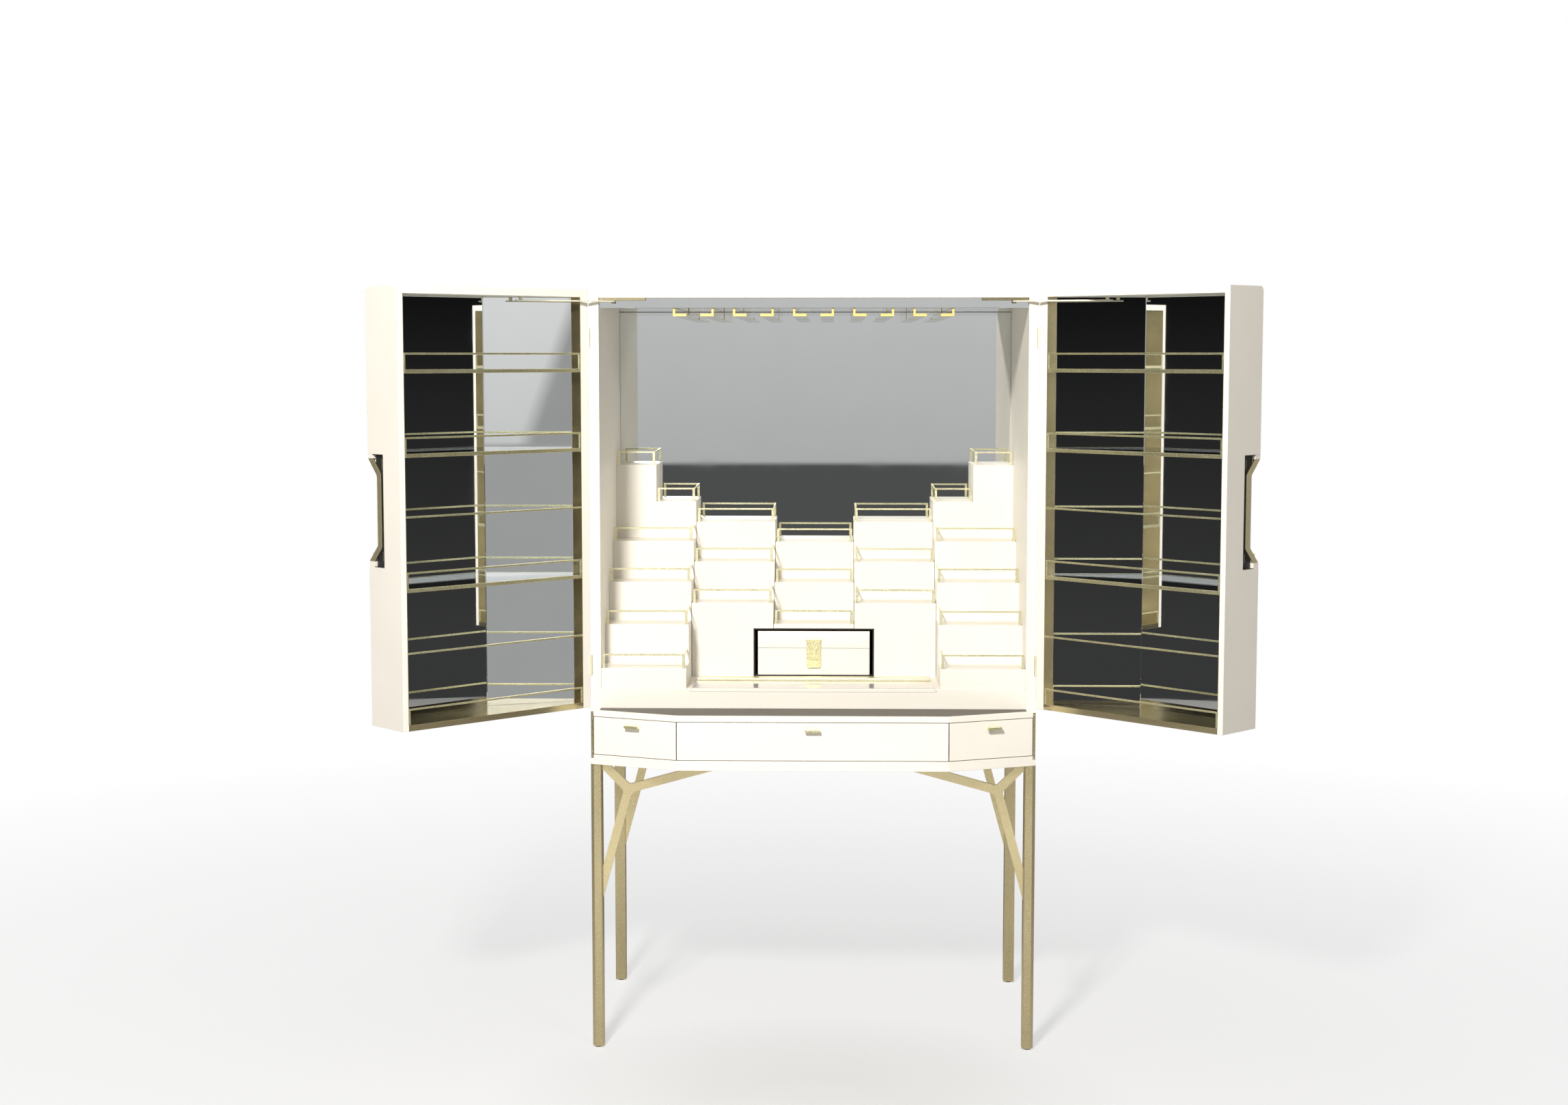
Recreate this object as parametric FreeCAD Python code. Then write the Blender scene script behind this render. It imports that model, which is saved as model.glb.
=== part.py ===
"""Bar cabinet on brass legs, with two deep fitted doors, stepped bottle display and pull-out serving shelf.

Millimetres, +X right, +Y back, +Z up. The doors are modelled closed and then swung open about
their hinge pins, because the cabinet's rest position is open. While the shapes are made, y = 0 is
the carcass's front edge; put() moves every piece so that the origin lies under the middle.
"""
import FreeCAD, Part
import math
import os

os.makedirs("parts", exist_ok=True)

# ---------------------------------------------------------------- carcass
WIDTH = 1000.0              # outer width of the carcass
DEPTH = 535.0               # carcass front edge to the back face
CARCASS_HEIGHT = 938.0
SIDE_THICKNESS = 22.0
BOTTOM_THICKNESS = 45.0
TOP_THICKNESS = 17.0
BACK_THICKNESS = 8.0
MIRROR_THICKNESS = 4.0
BACKER_SKIN = 12.0          # board that the back mirror is stuck to
BACKER_RIM = 30.0           # battens between the backer and the back panel
MIRROR_TO_BACK = 45.0       # back mirror's face to the back face
SOFFIT_DROP = 22.5          # soffit fascia below the top panel
SOFFIT_SETBACK = 13.0
FASCIA_THICKNESS = 12.0
SOFFIT_BOARD = 6.0

# ---------------------------------------------------------------- base and legs
GLIDE_HEIGHT = 3.0
GLIDE_RADIUS = 9.0
LEG_LENGTH = 650.0
LEG_SIZE = 26.0
LEG_CHAMFER_X = 7.0
LEG_CHAMFER_Y = 10.0
LEG_CHAMFER_INNER = 3.0
BASE_HEIGHT = 122.0
BASE_INSET = 2.0            # each base end stands this far inside the carcass width
END_FORWARD = 33.5          # base front at its ends, ahead of the carcass front
FOLD_FORWARD = 111.5        # base front between the folds, ahead of the carcass front
FOLD_HALF = 301.0           # folds in the base front, from the middle
BASE_BOTTOM = 22.0
BASE_TOP = 13.0
BASE_END = 18.0             # thickness of the end uprights
BASE_BACK = 12.0
DIVIDER = 16.0
INLAY_DEPTH = 1.5
INLAY_RIM_FRONT = 10.0
INLAY_RIM_END = 19.0
STRIP_WIDTH = 6.0           # brass strips on the base's front corners
STRIP_TOP_MARGIN = 2.0
STRIP_BOTTOM_MARGIN = 14.0
SCREW_HEAD_RADIUS = 1.8
SCREW_HEAD_HEIGHT = 0.6
SCREW_SHANK_RADIUS = 1.1
SCREW_LENGTH = 28.0         # through the strip and into the board behind it
SCREW_FROM_END = 4.0
SCREW_SPACING = 11.0

# ---------------------------------------------------------------- braces
BRACE_WIDTH = 19.5
BRACE_THICKNESS = 10.0
BRACE_SETBACK = 9.0         # brace face behind the leg's outer face
BRACE_REACH = 308.0         # far ends of the long bars, from the corner of leg and base
BRACE_VERTEX = 66.5         # inner corner between the long bars, from the same corner
BRACE_FILLET = 14.0
BRACE_FILLET_SMALL = 9.0
ARM_DROP = 53.0             # short side arms: start below the base
ARM_ANGLE = 21.0

# ---------------------------------------------------------------- drawers
DRAWER_FRONT = 18.0
DRAWER_GAP = 1.5
FOLD_GAP = 2.0
DRAWER_WALL = 12.0
DRAWER_FLOOR = 8.0
DRAWER_LENGTH = 470.0
DRAWER_WALL_HEIGHT = 66.0
DRAWER_LIFT = 6.0           # drawer box above the base's bottom panel
RUNNER_SPACE = 13.0         # between a drawer side and its upright
RUNNER_WEB = 3.0
RUNNER_DEPTH = 9.0
RUNNER_HEIGHT = 30.0
RUNNER_LENGTH = 440.0
RUNNER_CLEARANCE = 0.3
PULL_WIDTH = 34.0
PULL_HEIGHT = 6.0
PULL_BAR = 6.0
PULL_REACH = 14.0
PULL_DROP = 17.5            # pull centre below the base's top panel's underside
PULL_POST = 5.0
PULL_POST_INSET = 4.0

# ---------------------------------------------------------------- stepped display
PANEL = 10.0                # treads, risers and cheeks
STEP_FIRST_FACE = 3.0       # first riser behind the carcass front
STEP_DEPTH = 98.0
STEP_RISE = 88.0
STEP_COUNT = 5
OUTER_FIRST_RISE = 45.0     # first tread of the outer columns above the floor
INNER_DROP = 49.0           # each column inwards stands this much lower
COLUMN_GAP = 1.0
SHELF_HALF = 273.0          # serving shelf, from the middle to its side
SHELF_SIDE_GAP = 13.0
OUTER_COLUMN_IN = SHELF_HALF + SHELF_SIDE_GAP       # outer columns run from here to the carcass sides
INNER_COLUMN_IN = 95.0
OUTER_SPLIT = 382.0         # top step of the outer columns is two heights
FIRST_INNER_STEP = 2        # the inner columns start at this step
RAIL_RISE = 31.0            # gallery rail's centre above its tread
RAIL_BAR = 4.0
RAIL_THICKNESS = 2.5
RAIL_POST = 6.0
RAIL_INSET = 3.0
NICHE_HALF = 141.0
NICHE_LINING = 3.0
NICHE_DEPTH = 190.0

# ---------------------------------------------------------------- case in the niche
CASE_HALF = 131.0
CASE_SETBACK = 4.0
CASE_DEPTH = 170.0
CASE_WALL = 8.0
CASE_BODY_HEIGHT = 63.0
CASE_LID_HEIGHT = 39.5
CASE_CLEARANCE = 0.3
HASP_HALF = 16.5
HASP_THICKNESS = 2.4
HASP_TOP_MARGIN = 20.0      # hasp pin below the lid's top
HASP_LENGTH = 66.0
HASP_KNUCKLE = 2.6
HASP_PIN = 1.2
HASP_LUG = 5.0
FIT_CLEARANCE = 0.05        # running fit on the radius of small pins

# ---------------------------------------------------------------- serving shelf
SHELF_BACK_GAP = 6.0        # behind the shelf, to the first riser of the inner columns
SHELF_DEPTH = FIRST_INNER_STEP * STEP_DEPTH - SHELF_BACK_GAP
SHELF_BOARD = 7.0
SHELF_MIRROR = 1.0
SHELF_MIRROR_SETBACK = 5.0
SHELF_CLEARANCE = 0.3
SHELF_TONGUE = 5.0
SHELF_TONGUE_HEIGHT = 3.0
SHELF_BAR_INSET = 5.0
SHELF_BAR_FRONT = 114.0
SHELF_BAR_DEPTH = 36.0
SHELF_BAR_HEIGHT = 6.0

# ---------------------------------------------------------------- glass racks
RACK_COUNT = 5
RACK_PITCH = 134.0
RACK_WIDTH = 91.5
RACK_SLOT = 30.5
RACK_HEIGHT = 18.5
RACK_FOOT = 6.0
RACK_WEB = 5.5
RACK_SETBACK = 18.0
RACK_BACK_GAP = 15.0

# ---------------------------------------------------------------- doors
OPEN_ANGLE = 135.8
DOOR_TO_BASE = 2.0
DOOR_TO_CARCASS = 1.5
DOOR_SIDE_GAP = 1.0         # at the hinge edge, and to the middle of the cabinet
DOOR_THICKNESS = 122.5
DOOR_HINGE_THICKNESS = 46.5
DOOR_FOLD = 200.0           # fold in the door's face, from the hinge pin
HINGE_STILE = 21.0
FREE_STILE = 13.0
LINING = 1.0
DOOR_TOP_BOARD = 16.0
DOOR_BOTTOM_BOARD = 12.0
MIRROR_DEPTH = 107.0        # door mirror's face, from the hinge plane
MIRROR_HINGE_DEPTH = 33.0
MIRROR_FOLD = 207.0
DOOR_CHAMFER = 7.0          # along the door's top edge, on its face and its hinge end
LOW_SHELF = 302.0           # glass shelves' tops, above the door's lower edge
MIDDLE_SHELF = 586.0
HIGH_SHELF = 762.0
GLASS_SHELF = 8.0
SHELF_EDGE = 3.0
LOW_RAIL = 33.0             # bottle rail's centre above its shelf
LOW_GUARD = 165.0           # guard rails' centres, above the door's lower edge
HIGH_GUARD = 453.0
DOOR_RAIL = 4.0
POCKET_DEPTH = 9.5
POCKET_BACK = 66.0          # pocket's inner side, from the hinge plane
POCKET_LOW = 343.0          # above the door's lower edge
POCKET_HEIGHT = 240.0
POCKET_LINING = 1.0
HANDLE_WIDTH = 9.0
HANDLE_THICKNESS = 5.0
HANDLE_REACH = 20.0
HANDLE_MARGIN_LOW = 6.0
HANDLE_MARGIN_HIGH = 10.0
HANDLE_SLOPE_LOW = 20.0
HANDLE_SLOPE_HIGH = 33.0
HANDLE_SETBACK = 0.8

# ---------------------------------------------------------------- hinges and stays
KNUCKLE_RADIUS = 3.5
PIN_RADIUS = 1.5
HINGE_HEIGHT = 45.0
HINGE_FROM_BOTTOM = 96.5    # lower hinge's centre above the door's lower edge
HINGE_FROM_TOP = 105.5      # upper hinge's centre below the door's top
LEAF_WIDTH = 16.0           # leaves stand in slots, this deep in the edges of side and door
LEAF_THICKNESS = 1.5
KNUCKLE_GAP = 0.15
KNUCKLE_RECESS = 0.3
TRACK_LENGTH = 103.0
TRACK_DEPTH = 12.0
TRACK_HEIGHT = 6.0
TRACK_SIDE_GAP = 1.0
TRACK_SETBACK = 0.8
STAY_PIVOT_X = 445.0
STAY_PIVOT_Y = 7.0
STAY_PIN_RADIUS = 2.5
STAY_HEAD_RADIUS = 4.5
STAY_HEAD_HEIGHT = 3.0
STAY_WIDTH = 10.0
STAY_THICKNESS = 3.0
STAY_LENGTH = 225.0
STAY_CLEARANCE = 0.3
GUIDE_U = 157.0             # guide stud on the door, from the hinge pin along the door
GUIDE_V = 40.0              # and out from the hinge plane
GUIDE_RADIUS = 4.0

# ---------------------------------------------------------------- levels and planes worked out from these
HALF = WIDTH / 2
INNER_HALF = HALF - SIDE_THICKNESS
BASE_HALF = HALF - BASE_INSET
Z_BASE = GLIDE_HEIGHT + LEG_LENGTH
Z_DRAWERS = Z_BASE + BASE_BOTTOM
Z_CARCASS = Z_BASE + BASE_HEIGHT
Z_BASE_TOP_UNDER = Z_CARCASS - BASE_TOP
Z_FLOOR = Z_CARCASS + BOTTOM_THICKNESS
Z_TOP = Z_CARCASS + CARCASS_HEIGHT
Z_CEILING = Z_TOP - TOP_THICKNESS
Z_SOFFIT = Z_CEILING - SOFFIT_DROP
Y_MIRROR = DEPTH - MIRROR_TO_BACK
Y_BACK_PANEL = DEPTH - BACK_THICKNESS
CANT_SLOPE = (FOLD_FORWARD - END_FORWARD) / (BASE_HALF - FOLD_HALF)
CANT = math.atan(CANT_SLOPE)
Z_DOOR = Z_CARCASS + DOOR_TO_BASE
DOOR_HEIGHT = Z_TOP - Z_DOOR
DOOR_LENGTH = HALF - DOOR_SIDE_GAP
DOOR_OUTER = DOOR_TO_CARCASS + DOOR_THICKNESS
DOOR_HINGE_OUTER = DOOR_TO_CARCASS + DOOR_HINGE_THICKNESS
CAVITY_START = DOOR_SIDE_GAP + HINGE_STILE
CAVITY_END = DOOR_LENGTH - FREE_STILE
Z_DOOR_FLOOR = Z_DOOR + DOOR_BOTTOM_BOARD
Z_DOOR_CEILING = Z_TOP - DOOR_TOP_BOARD

X_AXIS = FreeCAD.Vector(1, 0, 0)
Y_AXIS = FreeCAD.Vector(0, 1, 0)
Z_AXIS = FreeCAD.Vector(0, 0, 1)
ORIGIN = FreeCAD.Vector(0, 0, 0)

# The open doors reach further forward than anything else, so they set the middle in depth.
SWING = math.radians(OPEN_ANGLE)
Y_FRONTMOST = -DOOR_LENGTH * math.sin(SWING) - DOOR_TO_CARCASS * math.cos(SWING)
SHIFT = FreeCAD.Vector(0, -(Y_FRONTMOST + DEPTH) / 2, 0)


# ---------------------------------------------------------------- shape helpers
def box(x0, x1, y0, y1, z0, z1):
    return Part.makeBox(x1 - x0, y1 - y0, z1 - z0, FreeCAD.Vector(x0, y0, z0))


def prism(points, start, length):
    """Solid from a closed outline of 3-D points, drawn out along one vector from a start offset."""
    corners = [point + start for point in points]
    face = Part.Face(Part.makePolygon(corners + corners[:1]))
    return face.extrude(length)


def prism_xy(points, z0, z1):
    outline = [FreeCAD.Vector(x, y, 0) for x, y in points]
    return prism(outline, Z_AXIS * z0, Z_AXIS * (z1 - z0))


def prism_xz(points, y0, y1):
    outline = [FreeCAD.Vector(x, 0, z) for x, z in points]
    return prism(outline, Y_AXIS * y0, Y_AXIS * (y1 - y0))


def prism_yz(points, x0, x1):
    outline = [FreeCAD.Vector(0, y, z) for y, z in points]
    return prism(outline, X_AXIS * x0, X_AXIS * (x1 - x0))


def rod(radius, start, direction, length):
    return Part.makeCylinder(radius, length, start, direction)


def tray(x0, x1, y0, y1, z0, z1, wall, floor_low, front_open):
    """Five (or four) boards of a box: a floor or lid, two ends, a back and a front."""
    z_in0 = z0 + wall if floor_low else z0
    z_in1 = z1 if floor_low else z1 - wall
    z_board = z0 if floor_low else z_in1
    boards = [box(x0, x1, y0, y1, z_board, z_board + wall),
              box(x0, x0 + wall, y0, y1, z_in0, z_in1),
              box(x1 - wall, x1, y0, y1, z_in0, z_in1),
              box(x0 + wall, x1 - wall, y1 - wall, y1, z_in0, z_in1)]
    if not front_open:
        boards.append(box(x0 + wall, x1 - wall, y0, y0 + wall, z_in0, z_in1))
    return boards


def mirrored(shape):
    return shape.mirror(ORIGIN, X_AXIS)


def both_sides(solids):
    return solids + [mirrored(solid) for solid in solids]


def put(name, solids):
    moved = []
    for solid in solids:
        copy = solid.copy()
        copy.translate(SHIFT)
        moved.append(copy)
    shape = moved[0] if len(moved) == 1 else Part.makeCompound(moved)
    shape.exportStep("parts/" + name + ".step")


# ---------------------------------------------------------------- base outline
def canted_y(x, inset):
    """y of the canted base front at x, moved straight back from its face by inset."""
    return -(END_FORWARD + (BASE_HALF - abs(x)) * CANT_SLOPE) + inset / math.cos(CANT)


def fold_at(inset):
    """x of the fold once both faces are moved back by inset."""
    run = FOLD_FORWARD - inset - END_FORWARD + inset / math.cos(CANT)
    return BASE_HALF - run / CANT_SLOPE


def base_plan(inset, x_end, y_back):
    fold = fold_at(inset)
    y_fold = -FOLD_FORWARD + inset
    y_end = canted_y(x_end, inset)
    return [(-x_end, y_back), (-x_end, y_end), (-fold, y_fold), (fold, y_fold), (x_end, y_end), (x_end, y_back)]


def corner_strip():
    """Right-hand brass strip, let into the corner where the canted front meets the end."""
    x_in = BASE_HALF - STRIP_WIDTH
    back = DRAWER_FRONT + DRAWER_GAP
    plan = [(x_in, canted_y(x_in, 0)), (BASE_HALF, canted_y(BASE_HALF, 0)),
            (BASE_HALF, canted_y(BASE_HALF, back)), (x_in, canted_y(x_in, back))]
    return prism_xy(plan, Z_BASE + STRIP_BOTTOM_MARGIN, Z_CARCASS - STRIP_TOP_MARGIN)


def strip_screws():
    """Four screws in the right-hand strip: heads square to the canted front, shanks straight back."""
    x = BASE_HALF - STRIP_WIDTH / 2
    inward = FreeCAD.Vector(-math.sin(CANT), math.cos(CANT), 0)
    low = Z_BASE + STRIP_BOTTOM_MARGIN + SCREW_FROM_END
    high = Z_CARCASS - STRIP_TOP_MARGIN - SCREW_FROM_END
    screws = []
    for z in (low, low + SCREW_SPACING, high - SCREW_SPACING, high):
        face = FreeCAD.Vector(x, canted_y(x, 0), z)
        head = rod(SCREW_HEAD_RADIUS, face - inward * SCREW_HEAD_HEIGHT, inward, SCREW_HEAD_HEIGHT)
        shank = rod(SCREW_SHANK_RADIUS, face, Y_AXIS, SCREW_LENGTH)
        screws.append(head.fuse(shank).removeSplitter())
    return screws


# ---------------------------------------------------------------- legs and braces
def make_legs():
    x_in = HALF - LEG_SIZE
    y0 = -END_FORWARD
    y1 = y0 + LEG_SIZE
    plan = [(x_in, y1), (x_in, y0 + LEG_CHAMFER_INNER), (x_in + LEG_CHAMFER_INNER, y0),
            (HALF - LEG_CHAMFER_X, y0), (HALF, y0 + LEG_CHAMFER_Y), (HALF, y1)]
    front = prism_xy(plan, GLIDE_HEIGHT, Z_BASE)
    rear_plan = [(x, DEPTH + y0 - y) for x, y in reversed(plan)]
    rear = prism_xy(rear_plan, GLIDE_HEIGHT, Z_BASE)
    put("legs", both_sides([front, rear]))
    x_mid = HALF - LEG_SIZE / 2
    glides = []
    for y_mid in (y0 + LEG_SIZE / 2, DEPTH - LEG_SIZE / 2):
        glides.append(rod(GLIDE_RADIUS, FreeCAD.Vector(x_mid, y_mid, 0), Z_AXIS, GLIDE_HEIGHT))
    put("foot_glides", both_sides(glides))


def y_brace(y0):
    """Right-hand Y brace in the plane of a pair of legs, its corner where leg meets base."""
    corner_x = HALF - LEG_SIZE
    lean = math.atan(BRACE_VERTEX / (BRACE_REACH - BRACE_VERTEX))
    near = BRACE_REACH - BRACE_WIDTH / math.sin(lean)
    short = BRACE_WIDTH / math.sqrt(2)
    slope = math.tan(lean)
    # Where the short bar's side meets a long bar's upper side, along and down from the corner.
    meet = (short + near * slope) / (1 + slope)
    outline = [(0, -short), (meet - short, -meet), (0, -near), (0, -BRACE_REACH),
               (BRACE_VERTEX, -BRACE_VERTEX), (BRACE_REACH, 0), (near, 0), (meet, short - meet),
               (short, 0), (0, 0)]
    points = [(corner_x - along, Z_BASE + down) for along, down in outline]
    brace = prism_xz(points, y0, y0 + BRACE_THICKNESS)
    for (along, down), radius in ((outline[4], BRACE_FILLET), (outline[7], BRACE_FILLET_SMALL),
                                  (outline[1], BRACE_FILLET_SMALL)):
        x = corner_x - along
        z = Z_BASE + down
        edges = [edge for edge in brace.Edges
                 if all(abs(vertex.X - x) < 0.01 and abs(vertex.Z - z) < 0.01 for vertex in edge.Vertexes)]
        brace = brace.makeFillet(radius, edges)
    return brace


def make_braces():
    front = y_brace(-END_FORWARD + BRACE_SETBACK)
    rear = y_brace(DEPTH - BRACE_SETBACK - BRACE_THICKNESS)
    slope = math.tan(math.radians(ARM_ANGLE))
    upright = BRACE_WIDTH / math.cos(math.radians(ARM_ANGLE))
    x1 = HALF - BRACE_SETBACK
    x0 = x1 - BRACE_THICKNESS
    leg_back = -END_FORWARD + LEG_SIZE
    profile = [(0, -ARM_DROP), (ARM_DROP / slope, 0), ((ARM_DROP - upright) / slope, 0), (0, upright - ARM_DROP)]
    front_arm = prism_yz([(leg_back + y, Z_BASE + z) for y, z in profile], x0, x1)
    rear_arm = prism_yz([(DEPTH - LEG_SIZE - y, Z_BASE + z) for y, z in profile], x0, x1)
    put("leg_braces", both_sides([front, rear]))
    put("side_arms", both_sides([front_arm, rear_arm]))


# ---------------------------------------------------------------- base case
def divider_x():
    return FOLD_HALF - DIVIDER / 2, FOLD_HALF + DIVIDER / 2


def make_base():
    strip = corner_strip()
    strips = both_sides([strip])
    screws = both_sides(strip_screws())
    screw_room = Part.makeCompound(screws)
    let_in = Part.makeCompound(strips + screws)
    bottom = prism_xy(base_plan(0, BASE_HALF, DEPTH), Z_BASE, Z_DRAWERS).cut(let_in)
    top = prism_xy(base_plan(0, BASE_HALF, DEPTH), Z_BASE_TOP_UNDER, Z_CARCASS)
    inlay = prism_xy(base_plan(INLAY_RIM_FRONT, BASE_HALF - INLAY_RIM_END, 0), Z_CARCASS - INLAY_DEPTH, Z_CARCASS)
    top = top.cut(inlay).cut(let_in)
    put("base_bottom", [bottom])
    put("base_top", [top])
    put("base_inlay", [inlay])
    put("corner_strips", [strip_solid.cut(screw_room) for strip_solid in strips])
    put("strip_screws", screws)

    back_line = DRAWER_FRONT + DRAWER_GAP
    x_in = BASE_HALF - BASE_END
    end_plan = [(x_in, canted_y(x_in, back_line)), (BASE_HALF, canted_y(BASE_HALF, back_line)),
                (BASE_HALF, DEPTH), (x_in, DEPTH)]
    end = prism_xy(end_plan, Z_DRAWERS, Z_BASE_TOP_UNDER).cut(screw_room)
    d0, d1 = divider_x()
    divider = box(d0, d1, canted_y(d1, back_line), DEPTH - BASE_BACK, Z_DRAWERS, Z_BASE_TOP_UNDER)
    put("base_uprights", both_sides([end, divider]))
    put("base_back", [box(-x_in, x_in, DEPTH - BASE_BACK, DEPTH, Z_DRAWERS, Z_BASE_TOP_UNDER)])


# ---------------------------------------------------------------- drawers
def runner_z():
    return Z_DRAWERS + DRAWER_LIFT + (DRAWER_WALL_HEIGHT - RUNNER_HEIGHT) / 2


def fixed_runner(x_wall, toward, y0):
    """C-shaped rail screwed to an upright at x_wall, open toward +X (1) or -X (-1)."""
    z0 = runner_z()
    x_lip = x_wall + toward * RUNNER_DEPTH
    x_web = x_wall + toward * RUNNER_WEB
    rail = box(min(x_wall, x_lip), max(x_wall, x_lip), y0, y0 + RUNNER_LENGTH, z0, z0 + RUNNER_HEIGHT)
    groove = box(min(x_web, x_lip), max(x_web, x_lip), y0, y0 + RUNNER_LENGTH,
                 z0 + RUNNER_WEB, z0 + RUNNER_HEIGHT - RUNNER_WEB)
    return rail.cut(groove)


def moving_runner(x_wall, toward, y0):
    """Bar on the drawer's side that runs inside the fixed rail's groove."""
    z0 = runner_z() + RUNNER_WEB + RUNNER_CLEARANCE
    z1 = runner_z() + RUNNER_HEIGHT - RUNNER_WEB - RUNNER_CLEARANCE
    x_tip = x_wall + toward * (RUNNER_WEB + RUNNER_CLEARANCE)
    x_side = x_wall + toward * RUNNER_SPACE
    return box(min(x_tip, x_side), max(x_tip, x_side), y0, y0 + RUNNER_LENGTH, z0, z1)


def drawer_box(x0, x1, front_y):
    """Open-topped box from panels; front_y(x) is the back face of the drawer's front."""
    z0 = Z_DRAWERS + DRAWER_LIFT
    z1 = z0 + DRAWER_WALL_HEIGHT
    z_floor = z0 + DRAWER_FLOOR
    y_back = min(front_y(x0), front_y(x1)) + DRAWER_LENGTH
    w = DRAWER_WALL
    floor = prism_xy([(x0, front_y(x0)), (x1, front_y(x1)), (x1, y_back), (x0, y_back)], z0, z_floor)
    left = prism_xy([(x0, front_y(x0)), (x0 + w, front_y(x0 + w)), (x0 + w, y_back), (x0, y_back)], z_floor, z1)
    right = prism_xy([(x1 - w, front_y(x1 - w)), (x1, front_y(x1)), (x1, y_back), (x1 - w, y_back)], z_floor, z1)
    back = box(x0 + w, x1 - w, y_back - w, y_back, z_floor, z1)
    inner_front = prism_xy([(x0 + w, front_y(x0 + w)), (x1 - w, front_y(x1 - w)),
                            (x1 - w, front_y(x1 - w) + w), (x0 + w, front_y(x0 + w) + w)], z_floor, z1)
    return [floor, left, right, back, inner_front]


def drawer_pull(x, y, turn):
    """Square bar on two posts, on a front face that passes through (x, y) and is turned about Z."""
    z = Z_BASE_TOP_UNDER - PULL_DROP
    z0 = z - PULL_HEIGHT / 2
    z1 = z + PULL_HEIGHT / 2
    bar = box(-PULL_WIDTH / 2, PULL_WIDTH / 2, -PULL_REACH, -PULL_REACH + PULL_BAR, z0, z1)
    pull = bar
    for side in (-1, 1):
        post_x = side * (PULL_WIDTH / 2 - PULL_POST_INSET - PULL_POST / 2)
        pull = pull.fuse(box(post_x - PULL_POST / 2, post_x + PULL_POST / 2, -PULL_REACH + PULL_BAR, 0, z0, z1))
    pull = pull.removeSplitter()
    pull.rotate(ORIGIN, Z_AXIS, turn)
    pull.translate(FreeCAD.Vector(x, y, 0))
    return pull


def make_drawers():
    z0 = Z_DRAWERS + DRAWER_GAP
    z1 = Z_BASE_TOP_UNDER - DRAWER_GAP
    d0, d1 = divider_x()
    fixed = []

    x_front = FOLD_HALF - FOLD_GAP / 2
    y_back_face = -FOLD_FORWARD + DRAWER_FRONT
    x_box = d0 - RUNNER_SPACE
    y_runner = y_back_face + RUNNER_SPACE
    fixed += both_sides([fixed_runner(d0, -1, y_runner)])
    moving = both_sides([moving_runner(d0, -1, y_runner)])
    put("drawer_front_centre", [box(-x_front, x_front, -FOLD_FORWARD, y_back_face, z0, z1)])
    put("drawer_box_centre", drawer_box(-x_box, x_box, lambda x: y_back_face) + moving)
    put("drawer_pull_centre", [drawer_pull(0, -FOLD_FORWARD, 0)])

    x_in = FOLD_HALF + FOLD_GAP / 2
    x_out = BASE_HALF - STRIP_WIDTH - DRAWER_GAP / 2
    front = prism_xy([(x_in, canted_y(x_in, 0)), (x_out, canted_y(x_out, 0)),
                      (x_out, canted_y(x_out, DRAWER_FRONT)), (x_in, canted_y(x_in, DRAWER_FRONT))], z0, z1)
    x_wall = BASE_HALF - BASE_END
    box_in = d1 + RUNNER_SPACE
    box_out = x_wall - RUNNER_SPACE
    y_side_runner = canted_y(x_wall, DRAWER_FRONT) + RUNNER_SPACE
    fixed += both_sides([fixed_runner(d1, 1, y_side_runner), fixed_runner(x_wall, -1, y_side_runner)])
    walls = drawer_box(box_in, box_out, lambda x: canted_y(x, DRAWER_FRONT))
    slides = [moving_runner(d1, 1, y_side_runner), moving_runner(x_wall, -1, y_side_runner)]
    x_pull = (FOLD_HALF + BASE_HALF) / 2
    pull = drawer_pull(x_pull, canted_y(x_pull, 0), math.degrees(CANT))
    for side, place in (("right", lambda solid: solid), ("left", mirrored)):
        put("drawer_front_" + side, [place(front)])
        put("drawer_box_" + side, [place(solid) for solid in walls + slides])
        put("drawer_pull_" + side, [place(pull)])
    put("drawer_runners", fixed)


# ---------------------------------------------------------------- carcass
def hinge_levels():
    return [Z_DOOR + HINGE_FROM_BOTTOM, Z_TOP - HINGE_FROM_TOP]


def carcass_leaf(z0):
    """Hinge leaf that stands in a slot in the side's front edge."""
    x0 = HALF - KNUCKLE_RADIUS
    return box(x0, x0 + LEAF_THICKNESS, 0, LEAF_WIDTH, z0, z0 + HINGE_HEIGHT)


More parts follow.
